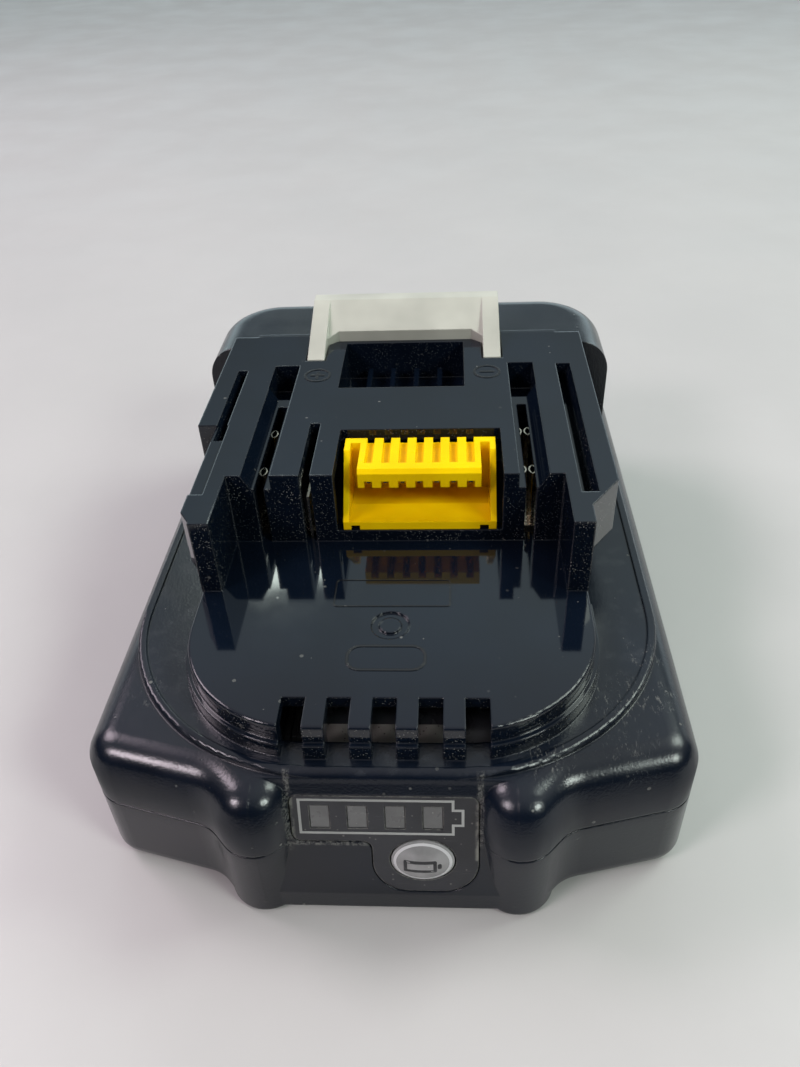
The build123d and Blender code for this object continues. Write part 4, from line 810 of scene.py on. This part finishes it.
class PACK_OT_inside(bpy.types.Operator):
    """Finish the cells, their holders and links, the board and its parts"""

    bl_idname = "pack.inside"
    bl_label = "Inside"

    def execute(self, context):
        cells = ["cell_" + str(index + 1) for index in range(5)]
        sleeve = moulded("cell sleeve", (0.020, 0.022, 0.026), 0.28, grain=0.000004, grain_scale=900.0,
                         dust=0.1, edge=0.0002, wear=0.0)
        finish_nodes(cells, sleeve)
        paper = moulded("insulator paper", (0.62, 0.60, 0.53), 0.8, grain=0.00001, grain_scale=2000.0,
                        dust=0.1, edge=0.00005, wear=0.0)
        finish_nodes(["cell_insulators"], paper)
        holders = ["cell_holder_left", "cell_holder_right"]
        finish_nodes(holders, moulded("cell holder", (0.016, 0.016, 0.018), 0.45))
        links = ["link_minus", "link_1_2", "link_2_3", "link_3_4", "link_4_5", "link_plus"]
        finish_nodes(links, metal("nickel strip", (0.60, 0.58, 0.53), 0.24, (1.0, 0.15, 1.0)))
        finish_nodes(["main_board", "gauge_board"], board_finish())
        small_parts = ["board_parts", "gauge_switch", "switch_plunger", "thermistor"]
        finish_nodes(small_parts, moulded("part epoxy", (0.010, 0.010, 0.011), 0.48))
        finish_nodes(["fuse"], moulded("fuse ceramic", (0.60, 0.58, 0.50), 0.3))
        finish_nodes(["gauge_wires"], moulded("wire insulation", (0.010, 0.010, 0.010), 0.4))
        finish_nodes(["foam_pads"], foam_finish())
        return {"FINISHED"}


class PACK_OT_gauge(bpy.types.Operator):
    """Finish the gauge and print the battery sign on its film"""

    bl_idname = "pack.gauge"
    bl_label = "Charge gauge"

    def execute(self, context):
        scene = context.scene
        colours = scene.pack_colours
        sizes = scene.pack_sizes
        finish_nodes(["gauge_label"], film_finish())
        finish_nodes(["light_guides"], lens_finish("window lens", tuple(colours.window), 0.30))
        finish_nodes(["gauge_lamps"], lens_finish("lamp lens", (0.55, 0.53, 0.42), 0.20))
        finish_nodes(["gauge_button"], lens_finish("button lens", tuple(colours.lens), 0.16))
        low = Vector(sizes.battery_low)
        high = Vector(sizes.battery_high)
        nub = Vector(sizes.battery_nub)
        deselect()
        centre = (low + high) / 2
        bpy.ops.mesh.primitive_plane_add(size=1.0, location=(centre.x, centre.y, 0.0))
        sign = context.object
        sign.name = "gauge_sign"
        sign.scale = (high.x - low.x, high.y - low.y, 1.0)
        bpy.ops.object.transform_apply(location=True, rotation=True, scale=True)
        bpy.ops.object.mode_set(mode="EDIT")
        for level in (centre.y - nub.y / 2, centre.y + nub.y / 2):
            bpy.ops.mesh.select_all(action="SELECT")
            bpy.ops.mesh.bisect(plane_co=(0.0, level, 0.0), plane_no=(0.0, 1.0, 0.0))
        bpy.ops.mesh.select_mode(type="EDGE")
        bpy.ops.mesh.select_all(action="DESELECT")
        bpy.ops.object.mode_set(mode="OBJECT")
        for edge in sign.data.edges:
            ends = [sign.data.vertices[index].co for index in edge.vertices]
            at_end = all(abs(end.x - high.x) < WELD for end in ends)
            edge.select = at_end and abs((ends[0].y + ends[1].y) / 2 - centre.y) < nub.y / 4
        bpy.ops.object.mode_set(mode="EDIT")
        bpy.ops.mesh.extrude_region_move(TRANSFORM_OT_translate={"value": (nub.x, 0.0, 0.0)})
        bpy.ops.mesh.select_mode(type="FACE")
        bpy.ops.mesh.select_all(action="SELECT")
        empty_out(sizes.line_width)
        raise_sheet(sign, sizes.print_height)
        lay_on_face(sign, sizes, sizes.film_level)
        dress(sign, printed("sign ink", tuple(colours.sign), 0.45, 0.2))
        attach(sign, CASE)
        return {"FINISHED"}


class PACK_OT_button_sign(bpy.types.Operator):
    """Print the ring and the small battery sign on the check button's dome"""

    bl_idname = "pack.button_sign"
    bl_label = "Button sign"

    def execute(self, context):
        sizes = context.scene.pack_sizes
        colours = context.scene.pack_colours
        place = Vector(sizes.button_place)
        half = Vector(sizes.button_size)
        ring = annulus("button_ring", 1.0, 0.10, 0.0, (0.0, 0.0))
        ring.scale = (half.x * 0.93, half.y * 0.93, 1.0)
        ring.location = (place.x, place.y, 0.0)
        bpy.ops.object.transform_apply(location=True, rotation=True, scale=True)
        self.drop(ring, sizes, RING_HEIGHT)
        dress(ring, printed("ring ink", (0.55, 0.55, 0.56), 0.35, 0.1))
        body = Vector((half.x * 0.52, half.y * 0.30))
        centre = Vector((place.x - half.x * 0.08, place.y - half.y * 0.10))
        outline = flat_frame(
            "button_battery", centre - body, centre + body, 0.0, half.x * 0.05, half.x * 0.11, 3)
        nub_place = (centre.x + body.x + half.x * 0.09, centre.y)
        nub = bar("button_battery_nub", nub_place, half.x * 0.12, half.y * 0.26, 0.0)
        mark = join([outline, nub], "button_battery")
        self.drop(mark, sizes, MARK_HEIGHT)
        dress(mark, printed("battery ink", (0.020, 0.021, 0.024), 0.35, 0.1))
        for piece in (ring, mark):
            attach(piece, BUTTON)
        return {"FINISHED"}

    def drop(self, piece, sizes, height):
        """Cuts a flat sign finely, lowers it on to the dome and gives it thickness."""
        pick(piece)
        edit_all()
        bpy.ops.mesh.quads_convert_to_tris()
        bpy.ops.mesh.subdivide(number_cuts=2)
        bpy.ops.object.mode_set(mode="OBJECT")
        lay_on_face(piece, sizes, sizes.button_level)
        turn = Matrix.Rotation(sizes.face_tilt, 3, "X")
        out = turn @ Vector((0.0, 0.0, 1.0))
        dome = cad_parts["gauge_button"]
        graph = bpy.context.evaluated_depsgraph_get()
        target = dome.evaluated_get(graph)
        for corner in piece.data.vertices:
            hit, point, _, _ = target.ray_cast(corner.co, -out)
            if not hit:
                raise RuntimeError("the sign lies past the dome")
            corner.co = point + out * SIGN_LIFT
        raise_sheet(piece, height)


class PACK_OT_marks(bpy.types.Operator):
    """Raise the polarity signs and the plain moulding frames on plate and platform"""

    bl_idname = "pack.marks"
    bl_label = "Moulding marks"

    def execute(self, context):
        sizes = context.scene.pack_sizes
        lift = sizes.relief_height
        plate = sizes.plate_level
        radius = sizes.sign_radius
        signs = []
        kinds = (("plus", sizes.plus_place, True), ("minus", sizes.minus_place, False))
        for name, place, upright in kinds:
            centre = (place[0], place[1])
            parts = [annulus(name + "_ring", radius, radius * 0.16, plate, centre)]
            parts.append(bar(name + "_bar", centre, radius * 1.1, radius * 0.22, plate))
            if upright:
                for side in (-1, 1):
                    arm = (centre[0], centre[1] + side * radius * 0.34)
                    parts.append(bar(name + "_arm", arm, radius * 0.22, radius * 0.42, plate))
            sign = join(parts, name + "_sign")
            raise_sheet(sign, lift)
            signs.append(sign)
        platform = sizes.platform_level
        pill_low, pill_high = Vector(sizes.pill_low), Vector(sizes.pill_high)
        corner = (pill_high.y - pill_low.y) * 0.42
        pill = flat_frame("pill_frame", pill_low, pill_high, platform, corner, PILL_LINE, 8)
        panel_low, panel_high = Vector(sizes.panel_low), Vector(sizes.panel_high)
        panel = flat_frame("panel_frame", panel_low, panel_high, platform, PANEL_CORNER, PANEL_LINE, 4)
        for piece in (pill, panel):
            raise_sheet(piece, lift)
            signs.append(piece)
        gloss = moulded("raised gloss", (0.008, 0.0085, 0.010), 0.12, grain=0.000003, grain_scale=900.0,
                        dust=0.5, edge=0.00008, wear=0.3)
        for piece in signs:
            dress(piece, gloss)
            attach(piece, CASE)
        return {"FINISHED"}


class PACK_OT_stage(bpy.types.Operator):
    """Set the floor, the lights, the room and the camera"""

    bl_idname = "pack.stage"
    bl_label = "Stage"

    def execute(self, context):
        scene = context.scene
        stage = scene.pack_stage
        self.floor(stage)
        for name, place, width, height, colour, setting in LIGHTS:
            self.light(name, place, width, height, colour, getattr(stage, setting))
        self.room(scene)
        self.camera(scene, stage)
        scene.view_settings.view_transform = "Standard"
        return {"FINISHED"}

    def floor(self, stage):
        """A wide pale floor, cut into a few strips so that it shades evenly."""
        deselect()
        bpy.ops.mesh.primitive_plane_add(size=stage.floor_size, location=(0.0, 0.0, 0.0))
        floor = bpy.context.object
        floor.name = "floor"
        edit_all()
        bpy.ops.mesh.subdivide(number_cuts=7)
        bpy.ops.object.mode_set(mode="OBJECT")
        dress(floor, floor_finish())

    def light(self, name, place, width, height, colour, power):
        """A soft light that points at the pack."""
        lamp = bpy.data.lights.new(name, "AREA")
        lamp.shape = "RECTANGLE"
        lamp.size = width
        lamp.size_y = height
        lamp.energy = power
        lamp.color = colour
        holder = bpy.data.objects.new(name, lamp)
        bpy.context.collection.objects.link(holder)
        holder.location = place
        way = Vector(AIM) - Vector(place)
        holder.rotation_euler = way.to_track_quat("-Z", "Y").to_euler()

    def room(self, scene):
        """A bright room behind and above, dim on the camera's side, warm left and cool right.

        A low bright band far behind gives the floor its sheen, and the camera sees a plain pale backdrop.
        """
        world = bpy.data.worlds.new("room")
        world.use_nodes = True
        scene.world = world
        tree = world.node_tree
        back = tree.nodes["Background"]
        ray = tree.nodes.new("ShaderNodeTexCoord").outputs["Generated"]
        x, y, z = axes(tree, ray)
        rise = plus(tree, z, times(tree, y, 0.6))
        level = spread(tree, rise, 0.0, 1.05, 0.03, 0.92)
        level = times(tree, level, spread(tree, z, 0.25, 0.75, 0.22, 1.0))
        dim = spread(tree, z, 0.66, 0.82, 1.0, 0.70)
        low_band = spread(tree, z, 0.20, 0.32, 1.2, 0.0)
        low_band = times(tree, low_band, spread(tree, y, 0.3, 0.8))
        colour = tint(tree, spread(tree, x, -0.5, 0.5), (1.02, 0.965, 1.02), (0.955, 1.02, 1.01))
        colour = tint(tree, spread(tree, y, 0.55, 0.75), colour, (0.80, 0.97, 1.02))
        seen = tree.nodes.new("ShaderNodeLightPath").outputs["Is Camera Ray"]
        colour = tint(tree, seen, colour, (0.97, 0.97, 0.96))
        tree.links.new(colour, back.inputs["Color"])
        level = times(tree, level, spread(tree, x, -0.5, 0.3, 0.72, 1.0))
        level = plus(tree, times(tree, level, dim), low_band)
        level = times(tree, level, maths(tree, "SUBTRACT", 1.0, seen))
        level = plus(tree, level, times(tree, seen, 0.72))
        tree.links.new(level, back.inputs["Strength"])

    def camera(self, scene, stage):
        """The camera at the place and angle of the photograph."""
        pitch, yaw, roll = stage.camera_pitch, stage.camera_yaw, stage.camera_roll
        forward = Vector((sin(yaw) * cos(pitch), cos(yaw) * cos(pitch), -sin(pitch)))
        level = Vector((cos(yaw), -sin(yaw), 0.0))
        up = level.cross(forward)
        right = level * cos(roll) + up * sin(roll)
        top = up * cos(roll) - level * sin(roll)
        lens = bpy.data.cameras.new("camera")
        lens.lens = stage.camera_lens
        lens.sensor_width = 36.0
        lens.clip_start = 0.005
        lens.clip_end = 20.0
        camera = bpy.data.objects.new("camera", lens)
        bpy.context.collection.objects.link(camera)
        turn = Matrix((right, top, -forward)).transposed().to_4x4()
        camera.matrix_world = Matrix.Translation(Vector(stage.camera_place)) @ turn
        scene.camera = camera


class PACK_PT_panel(bpy.types.Panel):
    """The pack's steps in the sidebar"""

    bl_idname = "PACK_PT_panel"
    bl_label = "Battery pack"
    bl_space_type = "VIEW_3D"
    bl_region_type = "UI"
    bl_category = "Battery pack"

    def draw(self, context):
        for step in STEPS:
            self.layout.operator(step.bl_idname)
        for group in ("pack_sizes", "pack_colours", "pack_stage"):
            owner = getattr(context.scene, group)
            for name in owner.__annotations__:
                self.layout.prop(owner, name)


STEPS = (
    PACK_OT_stage,
    PACK_OT_case,
    PACK_OT_terminals,
    PACK_OT_inside,
    PACK_OT_gauge,
    PACK_OT_button_sign,
    PACK_OT_marks,
)
GROUPS = (("pack_sizes", PackSizes), ("pack_colours", PackColours), ("pack_stage", PackStage))


def register():
    for name, group in GROUPS:
        bpy.utils.register_class(group)
        setattr(bpy.types.Scene, name, bpy.props.PointerProperty(type=group))
    for step in STEPS:
        bpy.utils.register_class(step)
    bpy.utils.register_class(PACK_PT_panel)


def unregister():
    bpy.utils.unregister_class(PACK_PT_panel)
    for step in reversed(STEPS):
        bpy.utils.unregister_class(step)
    for name, group in reversed(GROUPS):
        delattr(bpy.types.Scene, name)
        bpy.utils.unregister_class(group)


def main():
    register()
    bpy.ops.pack.stage()
    bpy.ops.pack.case()
    bpy.ops.pack.terminals()
    bpy.ops.pack.inside()
    bpy.ops.pack.gauge()
    bpy.ops.pack.button_sign()
    bpy.ops.pack.marks()
    deselect()


if __name__ == "__main__":
    main()
